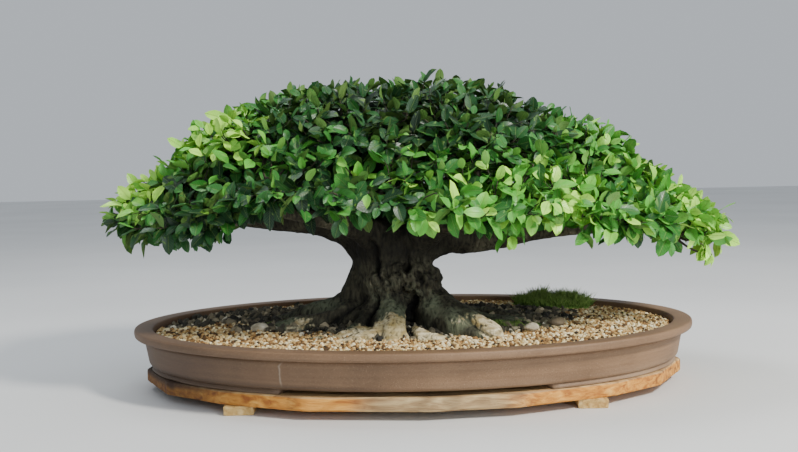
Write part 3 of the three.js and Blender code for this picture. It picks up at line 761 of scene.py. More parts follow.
def make_soil():
    """The soil: its height over rings that shrink towards the middle, and a flat underside."""
    angle = full_turn(120)
    share = np.linspace(1, 0.02, 30)[:, None]
    x = share * (POT_HALF[0] - FILL_INSET) * np.cos(angle)
    y = share * (POT_HALF[1] - FILL_INSET) * np.sin(angle)
    top = xyz(x, y, soil_height(x, y))
    bottom = top[:1].copy()
    bottom[..., 2] = POT_FLOOR + 0.4
    rings = np.concatenate([bottom, top])
    body = round_body(rings, (0, 0, POT_FLOOR + 0.4), (0, 0, soil_height(0.0, 0.0)))
    show_body("potting_soil", body, soil_material(), ["soil"])


GOLDEN = (1 + math.sqrt(5)) / 2
CRUMB_POINTS = unit(np.array([
    [-1, GOLDEN, 0], [1, GOLDEN, 0], [-1, -GOLDEN, 0], [1, -GOLDEN, 0],
    [0, -1, GOLDEN], [0, 1, GOLDEN], [0, -1, -GOLDEN], [0, 1, -GOLDEN],
    [GOLDEN, 0, -1], [GOLDEN, 0, 1], [-GOLDEN, 0, -1], [-GOLDEN, 0, 1],
]))
CRUMB_FACES = np.array([
    [0, 11, 5], [0, 5, 1], [0, 1, 7], [0, 7, 10], [0, 10, 11], [1, 5, 9], [5, 11, 4], [11, 10, 2],
    [10, 7, 6], [7, 1, 8], [3, 9, 4], [3, 4, 2], [3, 2, 6], [3, 6, 8], [3, 8, 9], [4, 9, 5],
    [2, 4, 11], [6, 2, 10], [8, 6, 7], [9, 8, 1],
])
CRUMB_CORNERS = len(CRUMB_POINTS)


def turned_by_chance(count, random):
    """A chance rotation for each of count bodies, from four normal numbers taken as a quaternion."""
    w, x, y, z = unit(random.normal(size=(count, 4))).T
    rows = [
        [1 - 2 * (y * y + z * z), 2 * (x * y - z * w), 2 * (x * z + y * w)],
        [2 * (x * y + z * w), 1 - 2 * (x * x + z * z), 2 * (y * z - x * w)],
        [2 * (x * z - y * w), 2 * (y * z + x * w), 1 - 2 * (x * x + y * y)],
    ]
    return np.moveaxis(np.array(rows), -1, 0)


def crumbs(middles, sizes, stretch, random):
    """Angular crumbs: the twelve corners of an icosahedron moved in or out by chance, stretched, and
    turned by chance."""
    count = len(middles)
    corners = CRUMB_POINTS * (1 + 0.3 * (random.random((count, CRUMB_CORNERS, 1)) - 0.5))
    corners = corners * np.asarray(stretch) * sizes[:, None, None]
    corners = np.einsum("nij,nkj->nki", turned_by_chance(count, random), corners)
    points = (corners + middles[:, None, :]).reshape(-1, 3)
    triangles = (CRUMB_FACES + CRUMB_CORNERS * np.arange(count)[:, None, None]).reshape(-1, 3)
    return points, np.empty((0, 4), int), triangles


def show_crumbs(name, body, tone, material, replaced):
    """Shows crumbs with flat faces, each of its own tone."""
    values = {"tone": np.repeat(np.clip(tone, 0, 1), CRUMB_CORNERS)}
    show(name, new_mesh(name, *body, values, True), material, replaced)


def scattered(spacing, random):
    """Places on a staggered grid over the pot, each moved a little by chance."""
    across = np.arange(-380, 380, spacing)
    away = np.arange(-250, 250, spacing * 0.866)
    x, y = np.meshgrid(across, away)
    x = x + spacing / 2 * (np.arange(len(away)) % 2)[:, None]
    x = x + spacing * 0.35 * (random.random(x.shape) - 0.5)
    y = y + spacing * 0.35 * (random.random(y.shape) - 0.5)
    return x.ravel(), y.ravel()


def make_gravel():
    """Single grains over the bed: crumbs on a staggered grid, where the ground isn't dark or mossy."""
    random = np.random.default_rng(SEED + 1)
    x, y = scattered(5.3, random)
    place = xyz(x, y, 0)
    ragged = 0.10 * lumps(place, 16, 5) + 0.08 * lumps(place, 45, 6)
    keep = (wall_share(x, y) < 0.988) & (dark_share(x, y) + ragged > 0.99)
    keep &= oval_share(x, y, *MOSS_MOUND) > 1
    x, y = x[keep], y[keep]
    sizes = 2.4 + 0.9 * random.random(len(x)) ** 1.5
    z = soil_height(x, y) + 3.6 + 1.8 * random.random(len(x))
    body = crumbs(xyz(x, y, z), sizes, (1.25, 0.95, 0.8), random)
    # Painted shade: grains darker at the left rear under the crown and at the right rear by the wall.
    left_rear_shade = 0.30 * smooth(-x, 190, 270) * smooth(y, -10, 60)
    right_rear_shade = 0.18 * smooth(x, 250, 320) * smooth(y, 40, 100)
    tone = 0.68 + 0.26 * random.normal(size=len(x)) - 0.10 * lumps(xyz(x, y, 0), 60, 7)
    tone -= left_rear_shade + right_rear_shade
    tone = np.where(random.random(len(x)) < 0.25, 0.32 * random.random(len(x)), tone)
    material = gravel_material()
    show_crumbs("gravel_grains", body, tone, material, ["gravel"])
    bed_of_fines(material)


def bed_of_fines(material):
    """The fines between the grains, dark partly as soil and partly as painted shade in the gaps: a thin
    ring that follows the soil from pad to wall.
    """
    angle = full_turn(160)
    out = pad_wander(angle)
    middle_x, middle_y, half_length, half_width = ROOT_PAD
    pad_x = middle_x + half_length * out * np.cos(angle)
    pad_y = middle_y + half_width * out * np.sin(angle)
    wall_x, wall_y = oval(FILL_INSET + 0.2, angle)
    shares = np.concatenate([np.linspace(0.02, 1, 14), [1, 0.02, 0.02]])[:, None]
    lifts = np.concatenate([[0.3], np.full(13, 2.2), [0.1, 0.1, 0.3]])[:, None]
    x = pad_x + (wall_x - pad_x) * shares
    y = pad_y + (wall_y - pad_y) * shares
    points = xyz(x, y, soil_height(x, y) + lifts).reshape(-1, 3)
    quads = ring_faces(1, len(shares), len(angle))[0][:, ::-1]
    # Nearly black tones: partly soil, partly painted shade between the grains.
    values = {"tone": 0.05 * smooth(dark_share(points[:, 0], points[:, 1]), 0.9, 1.1)}
    body = (points, quads, np.empty((0, 3), int))
    show_body("gravel_fines", body, material, [], values)


def make_mulch():
    """Dark crumbs of old bark and soil on the root pad, with a few pale bits among them."""
    random = np.random.default_rng(SEED + 2)
    x, y = scattered(8.0, random)
    keep = (dark_share(x, y) < 1.06) & (wall_share(x, y) < 0.97)
    x, y = x[keep], y[keep]
    pale_share = 0.13 + 0.14 * smooth(-y, 10, 80) + 0.10 * smooth(x, 60, 110) * smooth(-y, 10, 50)
    pale = random.random(len(x)) < pale_share
    sizes = (3.0 + 4.5 * random.random(len(x)) ** 2) * np.where(pale, 0.72, 1.0)
    z = soil_height(x, y) + 0.35 * sizes + 2.6 * smooth(pad_share(x, y), 0.97, 1.03)
    body = crumbs(xyz(x, y, z), sizes, (1.5, 1.0, 0.6), random)
    tone = 0.70 * random.random(len(x))
    tone = np.where(pale, 0.80 + 0.2 * random.random(len(x)), tone)
    show_crumbs("mulch", body, tone, mulch_material(), [])


def spikes(bases, tips, radius, random):
    """Three-sided spikes from each base to its tip."""
    count = len(bases)
    way = unit(tips - bases)
    first = unit(np.cross(way, unit(random.normal(size=(count, 3)))))
    second = np.cross(way, first)
    turn = full_turn(3)
    out = np.cos(turn)[:, None] * first[:, None] + np.sin(turn)[:, None] * second[:, None]
    foot = bases[:, None] + radius * out
    points = np.concatenate([foot, tips[:, None]], axis=1).reshape(-1, 3)
    faces = np.array([[0, 1, 3], [1, 2, 3], [2, 0, 3], [0, 2, 1]])
    triangles = (faces + 4 * np.arange(count)[:, None, None]).reshape(-1, 3)
    return points, np.empty((0, 4), int), triangles


# Moss as x, y, half length, half width, height, turn, number of shoots, their length and a seed.
MOSS = {
    "moss_mound_back_right": (222, 112, 66, 36, 17, -0.35, 4200, 12.0, 61),
    "moss_patch_right": (128, -70, 52, 20, 8, -0.15, 1500, 4.0, 62),
    "moss_patch_left": (-166, -20, 56, 20, 7, 0.10, 1500, 4.0, 63),
}
# Pale stones as x, y, radius, a seed and how dull each is.
STONES = {
    "pale_stone_left": (-212, -80, 10, 71, 0.0),
    "pale_stone_right": (198, -76, 9, 72, 0.75),
    "pale_stone_front_right": (158, -116, 8, 73, 0.1),
}


def make_moss(name, material, x, y, half_length, half_width, height, turn, tufts, blade, seed):
    """A low dome, its height times (1 less out squared) to the 0.6, rough all over, with fine upright
    shoots that lean by chance."""
    random = np.random.default_rng(SEED + seed)
    angle = full_turn(72)
    share = np.concatenate([[1.0], np.linspace(1, 0.04, 16)])[:, None]
    edge = 0.9 + 0.1 * np.sin(3 * angle + seed) + 0.05 * np.sin(8 * angle)

    def dome_point(out, around, lift):
        """A place on the dome, lifted off it."""
        across = half_length * out * np.cos(around)
        away = half_width * out * np.sin(around)
        px = x + across * math.cos(turn) - away * math.sin(turn)
        py = y + across * math.sin(turn) + away * math.cos(turn)
        rise = height * (1 - out ** 2) ** 0.6 * (1 + 0.34 * lumps(xyz(px, py, 0), 15, seed))
        return xyz(px, py, GROUND + rise + lift)

    rings = dome_point(share * edge, angle, 0.0)
    underside = GROUND - 7
    rings[0, :, 2] = underside
    dome = round_body(rings, (x, y, underside), dome_point(0.0, 0.0, 0.0))
    out = np.sqrt(random.random(tufts)) * 0.93
    around = 2 * math.pi * random.random(tufts)
    bases = dome_point(out, around, -1.0)
    lean = xyz(random.normal(size=tufts), random.normal(size=tufts), 0) * 0.5
    reach = blade * (0.4 + 0.8 * random.random(tufts)) * (1 + 0.6 * lumps(bases, 7, seed + 1))
    tips = bases + (UP + lean) * reach[:, None]
    shoots = spikes(bases, tips, 0.8, random)
    tone = np.concatenate([
        0.35 + 0.15 * random.random(len(dome[0])),
        (0.35 + 0.65 * random.random((tufts, 1)) + np.array([-0.3, -0.3, -0.3, 0.3])).ravel(),
    ])
    values = {"tone": np.clip(tone, 0, 1)}
    show_body(name + "_shoots", together(dome, shoots), material, [name], values)


def make_stone(name, material, x, y, radius, seed, dull):
    """A worn pebble: a ball stretched along x, flattened and pushed in and out by smooth chance."""
    polar = np.linspace(0.12, math.pi - 0.12, 12)[:, None][::-1]
    angle = full_turn(20)
    way = xyz(np.sin(polar) * np.cos(angle), np.sin(polar) * np.sin(angle), np.cos(polar))
    reach = radius * (1 + 0.16 * lumps(way * 10, 7, seed))
    rings = way * reach[..., None] * [1.25, 1.0, 0.72] + np.array([x, y, GROUND + 8])
    low = rings[0].mean(axis=0) - np.array([0, 0, 0.3])
    high = rings[-1].mean(axis=0) + np.array([0, 0, 0.3])
    body = round_body(rings, low, high)
    values = {"dull": np.full(len(body[0]), dull)}
    show_body(name + "_worn", body, material, [name], values)


# The trunk's stems, the roots and the limbs: points of each centre line as x, y, z and radius.
TRUNK = [
    [[-24, -20, 66, 56], [-25, -20, 104, 55], [-26, -24, 140, 55], [-28, -26, 172, 52],
     [-26, -24, 200, 58], [-22, -18, 230, 38]],
    [[-86, -8, 88, 36], [-64, -20, 136, 31], [-58, -22, 176, 26], [-74, -24, 210, 24]],
    [[-34, -82, 84, 31], [-32, -70, 118, 29], [-28, -56, 158, 25], [-24, -44, 200, 22]],
    [[34, -62, 84, 34], [10, -54, 132, 27], [2, -42, 166, 26], [10, -30, 206, 26]],
]
ROOTS = [
    [[-58, -18, 120, 34], [-102, -8, 102, 25], [-146, 6, 96, 17], [-188, 20, 85, 11], [-234, 34, 75, 6]],
    [[-30, -60, 124, 26], [-28, -88, 106, 23], [-18, -124, 91, 17], [2, -162, 74, 8]],
    [[-44, -60, 110, 24], [-62, -92, 95, 18], [-84, -122, 84, 12], [-106, -146, 72, 6]],
    [[11, -48, 128, 27], [43, -84, 100, 31], [72, -114, 88, 27], [92, -131, 86, 21], [109, -141, 83, 16]],
    [[10, -6, 106, 27], [74, 16, 88, 18], [142, 32, 82, 11], [206, 44, 73, 6]],
    [[28, -34, 101, 22], [96, -30, 86, 14], [160, -36, 82, 9], [222, -48, 73, 6]],
    [[-56, 14, 118, 32], [-102, 56, 98, 21], [-142, 92, 88, 13], [-178, 122, 73, 7]],
    [[-6, 24, 118, 32], [16, 72, 98, 21], [46, 112, 87, 13], [72, 142, 73, 7]],
    [[-62, -44, 104, 26], [-118, -56, 94, 17], [-170, -54, 88, 12], [-226, -44, 73, 6]],
]
LIMBS = [
    [[-44, -24, 188, 37], [-80, -28, 217, 27], [-130, -28, 233, 21], [-220, -18, 240, 15],
     [-310, -5, 246, 10], [-372, 2, 250, 5]],
    [[-9, -26, 190, 35], [42, -28, 207, 27], [110, -26, 209, 22], [214, -16, 219, 15],
     [320, -22, 218, 10], [404, -24, 210, 5]],
    [[-40, -44, 202, 25], [-82, -84, 230, 16], [-142, -118, 248, 11], [-222, -136, 258, 5]],
    [[-4, -46, 202, 25], [44, -88, 228, 15], [112, -122, 244, 10], [206, -140, 246, 5]],
    [[-40, 6, 204, 25], [-88, 76, 240, 17], [-150, 128, 258, 11], [-232, 156, 262, 5]],
    [[-2, 6, 204, 25], [48, 74, 238, 17], [124, 132, 252, 11], [226, 158, 248, 5]],
    [[-20, 0, 214, 24], [-12, 78, 250, 14], [0, 150, 262, 6]],
    [[-20, -16, 212, 34], [-34, -8, 272, 20], [-6, 4, 330, 12], [16, 14, 380, 5]],
    [[-30, -16, 214, 26], [-84, -4, 284, 17], [-116, 8, 336, 10], [-118, 14, 372, 5]],
    [[-6, -14, 214, 26], [54, 0, 276, 17], [112, 10, 326, 10], [146, 14, 356, 5]],
]
# Thin roots that run over the ground in front and to the right, as x, y, lift over the soil, radius.
SURFACE_ROOTS = [
    [[-30, -116, 10, 12], [-48, -136, 7, 10], [-72, -146, 5, 8], [-104, -150, 1, 4]],
    [[-14, -118, 10, 12], [6, -138, 7, 10], [28, -148, 5, 8], [56, -152, 0, 4]],
    [[-22, -120, 10, 13], [-20, -140, 7, 11], [-26, -154, 3, 8], [-34, -164, -2, 5]],
    [[-14, -122, 9, 11], [-4, -142, 6, 10], [6, -156, 2, 8], [16, -166, -3, 5]],
    [[-42, -112, 11, 14], [-50, -132, 7, 13], [-56, -148, 3, 10], [-66, -158, -2, 6]],
    [[-32, -116, 12, 14], [-32, -138, 7, 12], [-34, -154, 2, 9], [-38, -165, -3, 6]],
    [[-2, -124, 6, 12], [10, -138, 4, 11], [22, -149, 1, 9], [36, -158, -3, 5]],
    [[-58, -112, 7, 7], [-88, -130, 6, 6], [-124, -136, 4, 5], [-158, -134, 0, 3]],
    [[-96, -40, 8, 7], [-140, -74, 5, 5], [-176, -84, 4, 4], [-206, -90, 0, 3]],
    [[-110, -16, 8, 6], [-152, -36, 5, 5], [-198, -44, 4, 4], [-238, -40, 0, 3]],
    [[84, -86, 6, 6], [122, -96, 5, 5], [158, -98, 4, 4], [196, -104, 0, 3]],
    [[76, -30, 8, 6], [124, -58, 5, 5], [170, -66, 4, 4], [204, -60, 0, 3]],
    [[100, 10, 8, 6], [146, -8, 5, 5], [190, -4, 4, 4], [228, 8, 0, 3]],
]
# The burls of the trunk's face and right side, as x, y, z and radius.
BURLS = [
    [27, -54, 152, 14], [28, -68, 159, 12], [18, -82, 150, 13], [4, -88, 146, 12], [-12, -86, 156, 13],
    [-28, -88, 147, 12], [-44, -78, 158, 13], [-56, -64, 151, 12], [7, -80, 167, 11], [18, -68, 168, 10],
    [-20, -78, 170, 10], [29, -40, 146, 12], [12, -86, 137, 10], [-37, -74, 173, 9], [31, -62, 141, 10],
    [-62, -40, 164, 11], [18, 8, 150, 18], [-8, 34, 144, 20], [-56, 20, 156, 16], [-34, 30, 176, 14],
    [-4, -74, 180, 9], [16, -66, 184, 9], [-36, -66, 186, 9], [-50, -54, 176, 10], [27, -28, 158, 11],
]
# The cells in which the bars grow together, in metres.
WOOD_VOXEL = 0.0022
# Where the roots are pale: x, y, z, reach and strength.
PALE_ROOTS = [
    [-18, -142, 89, 33, 1.5], [-50, -140, 87, 29, 1.4], [16, -148, 87, 27, 1.5],
    [-5, -116, 108, 12, 1.3], [-90, -140, 84, 28, 0.9], [-64, -118, 88, 20, 0.9],
    [70, -120, 104, 19, 0.75], [90, -132, 100, 21, 1.0], [108, -142, 92, 21, 1.2],
    [-150, -70, 88, 24, 0.5], [160, -60, 88, 22, 0.5],
]


def from_trunk(x, y):
    """How far a place is from the upright line through the trunk's middle."""
    return np.hypot(x + 24, y + 26)


def balls(centres):
    """Balls given as x, y, z and radius: rings of radius r sin t at heights r cos t."""
    centres = np.asarray(centres, float)
    t = np.linspace(0.15, math.pi - 0.15, 9)
    reach = centres[:, 3:]
    paths = np.repeat(centres[:, None, :3], len(t), axis=1)
    paths[:, :, 2] -= reach * np.cos(t)
    return bars(paths, reach * np.sin(t), 12)


def wood_bars():
    """Every root, stem and limb as a round bar, before they grow together. A limb starts thin, deep
    inside the trunk, so that it swells out of it."""
    heart = [[-24 + 0.2 * limb[0][0], -22, limb[0][2] - 26, 12] for limb in LIMBS]
    limbs = [[inside] + limb for inside, limb in zip(heart, LIMBS)]
    stems = np.stack([smooth_path(line, 48) for line in TRUNK + ROOTS + limbs])
    thin = np.stack([smooth_path(line, 40) for line in SURFACE_ROOTS])
    thin[..., 2] += soil_height(thin[..., 0], thin[..., 1])
    thin[..., 1] += 5 * lumps(thin[..., :3], 26, 11)
    return together(
        bars(stems[..., :3], stems[..., 3], 24),
        bars(thin[..., :3], thin[..., 3], 10),
        balls(BURLS),
    )


# The crevices between the columns of the trunk's foot, as two ends (x, z), half width and depth.
CREVICES = [
    [-3, 80, 0, 140, 4.4, 13],
    [-56, 108, -50, 142, 4.6, 12],
    [-12, 140, -20, 178, 3.5, 5],
    [-114, 88, -62, 136, 7.0, 8],
    [92, 90, 52, 124, 6.0, 5],
    [-46, 162, -54, 216, 5.0, 9],
    [-6, 176, -2, 216, 4.5, 6],
    [-26, 128, -38, 168, 3.5, 5],
    [16, 134, 8, 172, 3.5, 6],
]


def crevice_depth(points):
    """How deep the front of the trunk is cut: for each crevice its depth times e to the minus square of
    the distance from its line over its half width, fading out at its two ends."""
    x, y, z = points.T
    front = smooth(-y, 30, 52)
    depth = np.zeros(len(points))
    for x_low, z_low, x_high, z_high, half_width, deep in CREVICES:
        share = (z - z_low) / (z_high - z_low)
        line = x_low + (x_high - x_low) * share + 2.5 * lumps(points * [0, 0, 1], 14, 28)
        within = (1 - smooth(share, 0.72, 1.0)) * smooth(share, -0.4, -0.1)
        depth = np.maximum(depth, deep * bump((x - line) / half_width) * within * front)
    return depth


def bark_relief(points):
    """How far each point of the wood moves out: flutes along the grain, knobs on the burls and small
    wrinkles round the foot of the trunk."""
    x, y, z = points.T
    trunk = smooth(z, 92, 125) * (1 - smooth(from_trunk(x, y), 75, 120))
    up_grain = points * [1, 1, 0.22]
    side_grain = points * [0.25, 0.6, 1]
    flutes = 3.2 * lumps(up_grain, 15, 21) + 1.4 * lumps(up_grain, 7, 22)
    ridges = 1.6 * lumps(side_grain, 11, 23) + 0.9 * lumps(points, 6, 24)
    face = bump((x + 6) / 50, (z - 150) / 24) * trunk
    knobs = 6.4 * np.maximum(lumps(points, 9, 25), -0.25) + 2.4 * lumps(points, 4.5, 26)
    front_column = 5 * bump((x + 27) / 13, (z - 110) / 24) * smooth(-y, 40, 60)
    wrinkles = 0.9 * np.sin(z * 1.1 + 2 * lumps(points, 20, 27)) * (1 - smooth(z, 118, 140)) * trunk
    scale = smooth(from_trunk(x, y), 330, 60) * 0.75 + 0.25
    relief = flutes * trunk + ridges * (1 - 0.5 * trunk) + knobs * face + wrinkles
    return relief * scale + front_column


def make_wood():
    """The wood: bars grown together in a grid of cells, smoothed, moved out by the relief and in by the
    crevices, and thinned out. It carries where its bark is pale, mossy or knobbly, and painted shade in
    the crevices and under the leaves."""
    union = new_mesh("wood_bars", *wood_bars())
    mesh = applied(
        "wood",
        union,
        ("REMESH", {"mode": "VOXEL", "voxel_size": WOOD_VOXEL, "use_smooth_shade": True}),
        ("SMOOTH", {"factor": 0.5, "iterations": 9}),
    )
    points, normals = points_of(mesh, True)
    cut = crevice_depth(points)
    points = points + normals * (bark_relief(points) - cut)[:, None]
    place_points(mesh, points)
    mesh.update()
    x, y, z = points.T
    pale = np.zeros(len(points))
    for px, py, pz, reach, strength in PALE_ROOTS:
        away = ((x - px) ** 2 + (y - py) ** 2 + 1.6 * (z - pz) ** 2) / reach ** 2
        pale = np.maximum(pale, strength * np.exp(-away))
    low = 1 - smooth(z, 84, 104)
    pale = np.maximum(pale, low * (0.35 + 0.25 * lumps(points, 24, 31)) * smooth(-y, 20, 90))
    mossy = (1 - smooth(z, 110, 160)) * (0.5 + 0.5 * lumps(points, 30, 32))
    mossy += 0.6 * bump((x + 27) / 20, (z - 116) / 24) * smooth(-y, 50, 80)
    burl = bump((x + 6) / 56, (z - 150) / 30) * smooth(from_trunk(x, y), 110, 90)
    # Painted shade: dark in the cut crevices, and on the upper trunk where the leaves overhang it.
    crack = smooth(cut, 2.5, 9)
    canopy_shade = smooth(z, 168, 192) * (1 - smooth(from_trunk(x, y), 70, 130))
    crack = np.maximum(crack, 0.68 * canopy_shade)
    mossy = np.clip(mossy, 0, 1)
    give_numbers(mesh, {"pale": pale * (1 - crack), "mossy": mossy, "burl": burl, "crack": crack})
    mesh = applied("grown_wood", mesh, ("DECIMATE", {"ratio": 0.62}))
    show("grown_wood", mesh, bark_material(), ["trunk_roots_and_branches"])


# The crown's middle, half its length and width, and its top.
CROWN_X = 15.0
CROWN_Y = 14.0
CROWN_HALF_LENGTH = 468.0
CROWN_HALF_WIDTH = 272.0
CROWN_TOP = 444.0


def crown_height(x, y):
    """The height of the crown's outer surface over a place: the edge, plus the way up to the top times
    1 less out to a power from 2.95 at the left to 1.65 at the right, plus broad, low bumps."""
    across = (x - CROWN_X) / CROWN_HALF_LENGTH
    away = (y - CROWN_Y) / CROWN_HALF_WIDTH
    out = np.minimum(1.2, np.hypot(across, away))
    edge = 231 - 9 * across
    crest = 4 * bump((x - 25) / 75) - 2 * bump((x + 140) / 85)
    dome = (CROWN_TOP - edge) * (1 - out ** (2.3 - 0.65 * np.tanh(3 * across)))
    dome += 14 * bump((x - 292) / 66, (y - CROWN_Y) / 130)
    return edge + dome + crest * np.clip(1.2 - out, 0, 1)


def crown_normal(x, y):
    """Which way the crown's outer surface faces, from its slopes along x and y."""
    step = 12.0
    slope_x = (crown_height(x + step, y) - crown_height(x - step, y)) / (2 * step)
    slope_y = (crown_height(x, y + step) - crown_height(x, y - step)) / (2 * step)
    return unit(xyz(-slope_x, -slope_y, 1))


def crown_place(out, angle):
    """x and y at a share of the crown's oval and an angle round its middle."""
    x = CROWN_X + CROWN_HALF_LENGTH * out * np.cos(angle)
    y = CROWN_Y + CROWN_HALF_WIDTH * out * np.sin(angle)
    return x, y


def crown_places(count, turn):
    """Places over the crown along a golden spiral: 0.965 times the 0.44th power of the share of the
    steps, which makes them denser towards the steep rim."""
    step = np.arange(count) + 0.5
    return crown_place(0.965 * (step / count) ** 0.44, step * GOLDEN_TURN + turn)


# Shoots that hang below the crown in the photograph: where each starts.
HANGING = [
    [122, -200, 217], [128, -196, 236], [168, -206, 243], [228, -180, 240], [236, -184, 230],
    [324, -150, 218], [330, -156, 208], [396, -96, 188], [408, -88, 180], [426, -62, 196],
    [-88, -218, 243], [-2, -226, 244], [18, -228, 242], [70, -220, 241],
    [-258, -150, 232], [-268, -150, 224], [-282, -144, 220], [-300, -130, 222], [-318, -124, 224],
    [-240, -160, 236], [-392, -60, 226], [-360, -90, 226], [284, -168, 226], [372, -120, 212],
]
# Shoots that fill out the crown's left tip, which points out to the left: where each starts.
LEFT_TIP = [
    [-402, -44, 268], [-414, -18, 266], [-424, 4, 262], [-410, 24, 268], [-392, -62, 272],
    [-396, -6, 286], [-430, -12, 248], [-404, 44, 258], [-378, -34, 296], [-384, 22, 292],
    [-420, -34, 252], [-366, -64, 290],
]
# The underside of the crown from left to right: places, and the lowest height of a shoot there.
UNDERSIDE_X = [-460, -300, -210, -60, 60, 200, 320, 420, 480]
UNDERSIDE_HEIGHT = [231, 236, 252, 257, 250, 243, 228, 214, 206]


def lowest_shoot(x):
    """The lowest height of a shoot: high over the trunk and lower at the crown's two ends."""
    return np.interp(x, UNDERSIDE_X, UNDERSIDE_HEIGHT)


def limb_window(place):
    """How far the lowest shoots in front of the left limb are raised, so that the limb shows."""
    x, y, z = place.T
    beside = smooth(-x, 70, 120) * (1 - smooth(-x, 210, 260)) * smooth(-y, 20, 80)
    return 13 * beside * (1 - smooth(z - lowest_shoot(x), 8, 40))


def drawn_in(x, y):
    """The crown reaches a little less far behind and to the right, where shoots are longest."""
    right = CROWN_X + 0.972 * (x - CROWN_X)
    return np.where(x > CROWN_X, right, x), np.where(y > 0, 0.95 * y, y)


# Layers of shoots from the outside in: how many, how deep, how uneven, and how far inside (0 to 1).
SHOOT_LAYERS = [(860, 24, 10, 0.0), (440, 50, 13, 0.5), (230, 86, 16, 1.0)]
RIM_SHOOTS = 180


def shoots():
    """The ends of the twigs: place, way and how deep in the crown (0 outside, 1 inside)."""
    random = np.random.default_rng(SEED + 4)
    layers = []
    for count, depth, spare, deep in SHOOT_LAYERS:
        x, y = crown_places(count, 1.7 * deep)
        x = x + 7 * random.normal(size=count)
        y = y + 6 * random.normal(size=count)
        x, y = drawn_in(x, y)
        surface = xyz(x, y, crown_height(x, y))
        normal = crown_normal(x, y)
        sunk = depth + spare * lumps(surface, 52, 41) + 0.5 * spare * random.normal(size=count)
        place = surface - normal * np.maximum(sunk, 6)[:, None]
        way = unit(0.75 * normal + 0.38 * UP + 0.42 * random.normal(size=(count, 3)))
        kept = place[:, 2] > lowest_shoot(place[:, 0])
        layers.append((place[kept], way[kept], np.full(kept.sum(), deep)))
    count = RIM_SHOOTS
    angle = 2 * math.pi * (np.arange(count) + 0.7 * random.random(count)) / count
    out = 0.81 + 0.15 * random.random(count)
    x, y = drawn_in(*crown_place(out, angle))
    z = lowest_shoot(x) + 22 * random.random(count) ** 1.5
    outward = xyz(np.cos(angle), np.sin(angle), -0.15 + 0.35 * random.normal(size=count))
    layers.append((xyz(x, y, z), unit(outward), np.full(count, 0.25)))
    for place, _, _ in layers:
        place[:, 2] += limb_window(place)
    hanging = np.array(HANGING, float)
    down = unit(xyz(0.35 * random.normal(size=len(hanging)), -0.35, -0.8))
    layers.append((hanging, down, np.zeros(len(hanging))))
    tip = np.array(LEFT_TIP, float)
    leftwards = np.array([-0.8, 0.0, 0.4]) + 0.3 * random.normal(size=tip.shape)
    layers.append((tip, unit(leftwards), np.zeros(len(tip))))
    return tuple(np.concatenate(parts) for parts in zip(*layers))


# Shares along a leaf where it has rows of corners, and across it where it has columns.
LEAF_ROWS = np.array([0.10, 0.25, 0.45, 0.66, 0.86])
LEAF_COLUMNS = np.array([-1.0, -0.5, 0.0, 0.5, 1.0])
LEAF_ALONG = np.concatenate([[0], np.repeat(LEAF_ROWS, 5), [1], LEAF_ROWS])
LEAF_ACROSS = np.concatenate([[0], np.tile(LEAF_COLUMNS, 5), [0], np.zeros(5)])
LEAF_UNDER = np.concatenate([np.zeros(27), np.ones(5)])
LEAF_POINTS = len(LEAF_ALONG)
# What a leaf's profile reaches where it is widest.
LEAF_WIDEST = 0.34


def leaf_faces():
    """The faces of one leaf: four strips above, two beneath that share its edge, fans at both ends.
    Corner 0 is its base, 1 to 25 its rows above, 26 its tip and 27 to 31 its rib beneath."""
    row = 1 + 5 * np.arange(4)[:, None]
    column = np.arange(4)
    above = np.stack([row + column, row + 5 + column, row + 6 + column, row + 1 + column], -1)
    right = 1 + 5 * np.arange(4)
    rib = 27 + np.arange(4)
    beneath = np.concatenate([
        np.stack([right, rib, rib + 1, right + 5], -1),
        np.stack([rib, right + 4, right + 9, rib + 1], -1),
    ])
    fans_above = [[0, 1 + j, 2 + j] for j in range(4)] + [[21 + j, 26, 22 + j] for j in range(4)]
    fans_beneath = [[0, 27, 1], [0, 5, 27], [21, 31, 26], [31, 25, 26]]
    quads = np.concatenate([above.reshape(-1, 4), beneath])
    fans = np.array(fans_above + fans_beneath)
    return quads, fans, np.repeat([0, 1], [16, 8]), np.repeat([0, 1], [8, 4])


def leaves(base, along, facing, length, random):
    """Leaf blades: half the width is 0.7 mm plus a share s to the 0.72 times (1 - s) to the 0.84. The
    blade is folded along its rib, arched, and waved along its edge."""
    count = len(base)
    side = unit(np.cross(facing, along))
    up = np.cross(along, side)
    share = np.clip((LEAF_ALONG - 0.10) / 0.90, 0, 1)
    profile = share ** 0.72 * (1 - share) ** 0.84 / LEAF_WIDEST
    width = (0.198 + 0.06 * random.random(count))[:, None] * length[:, None]
    half = 0.7 * (LEAF_ALONG > 0) * (LEAF_ALONG < 1) + width * profile
    fold = 0.05 + 0.40 * random.random((count, 1))
    droop = 0.04 + 0.27 * random.random((count, 1))
    phase = 2 * math.pi * random.random((count, 1))
    forward = length[:, None] * LEAF_ALONG * (1 - 0.25 * droop * LEAF_ALONG)
    across = half * LEAF_ACROSS
    wave = 0.035 * length[:, None] * np.sin(2 * math.pi * 1.3 * LEAF_ALONG + phase) * LEAF_ACROSS ** 2
    lift = fold * half * np.abs(LEAF_ACROSS) - droop * length[:, None] * LEAF_ALONG ** 2 + wave
    lift = lift - 0.55 * LEAF_UNDER
    points = base[:, None] + forward[..., None] * along[:, None] + across[..., None] * side[:, None]
    return points + lift[..., None] * up[:, None]


# The leaves of a shoot from the youngest at its tip: their lengths, and how much lighter each is.
LEAF_LENGTHS = np.array([22, 29, 33, 35, 33])
YOUNG_TONES = np.array([0.26, 0.14, 0.05, 0.0, -0.04])
LEAVES_ON_SHOOT = len(LEAF_LENGTHS)


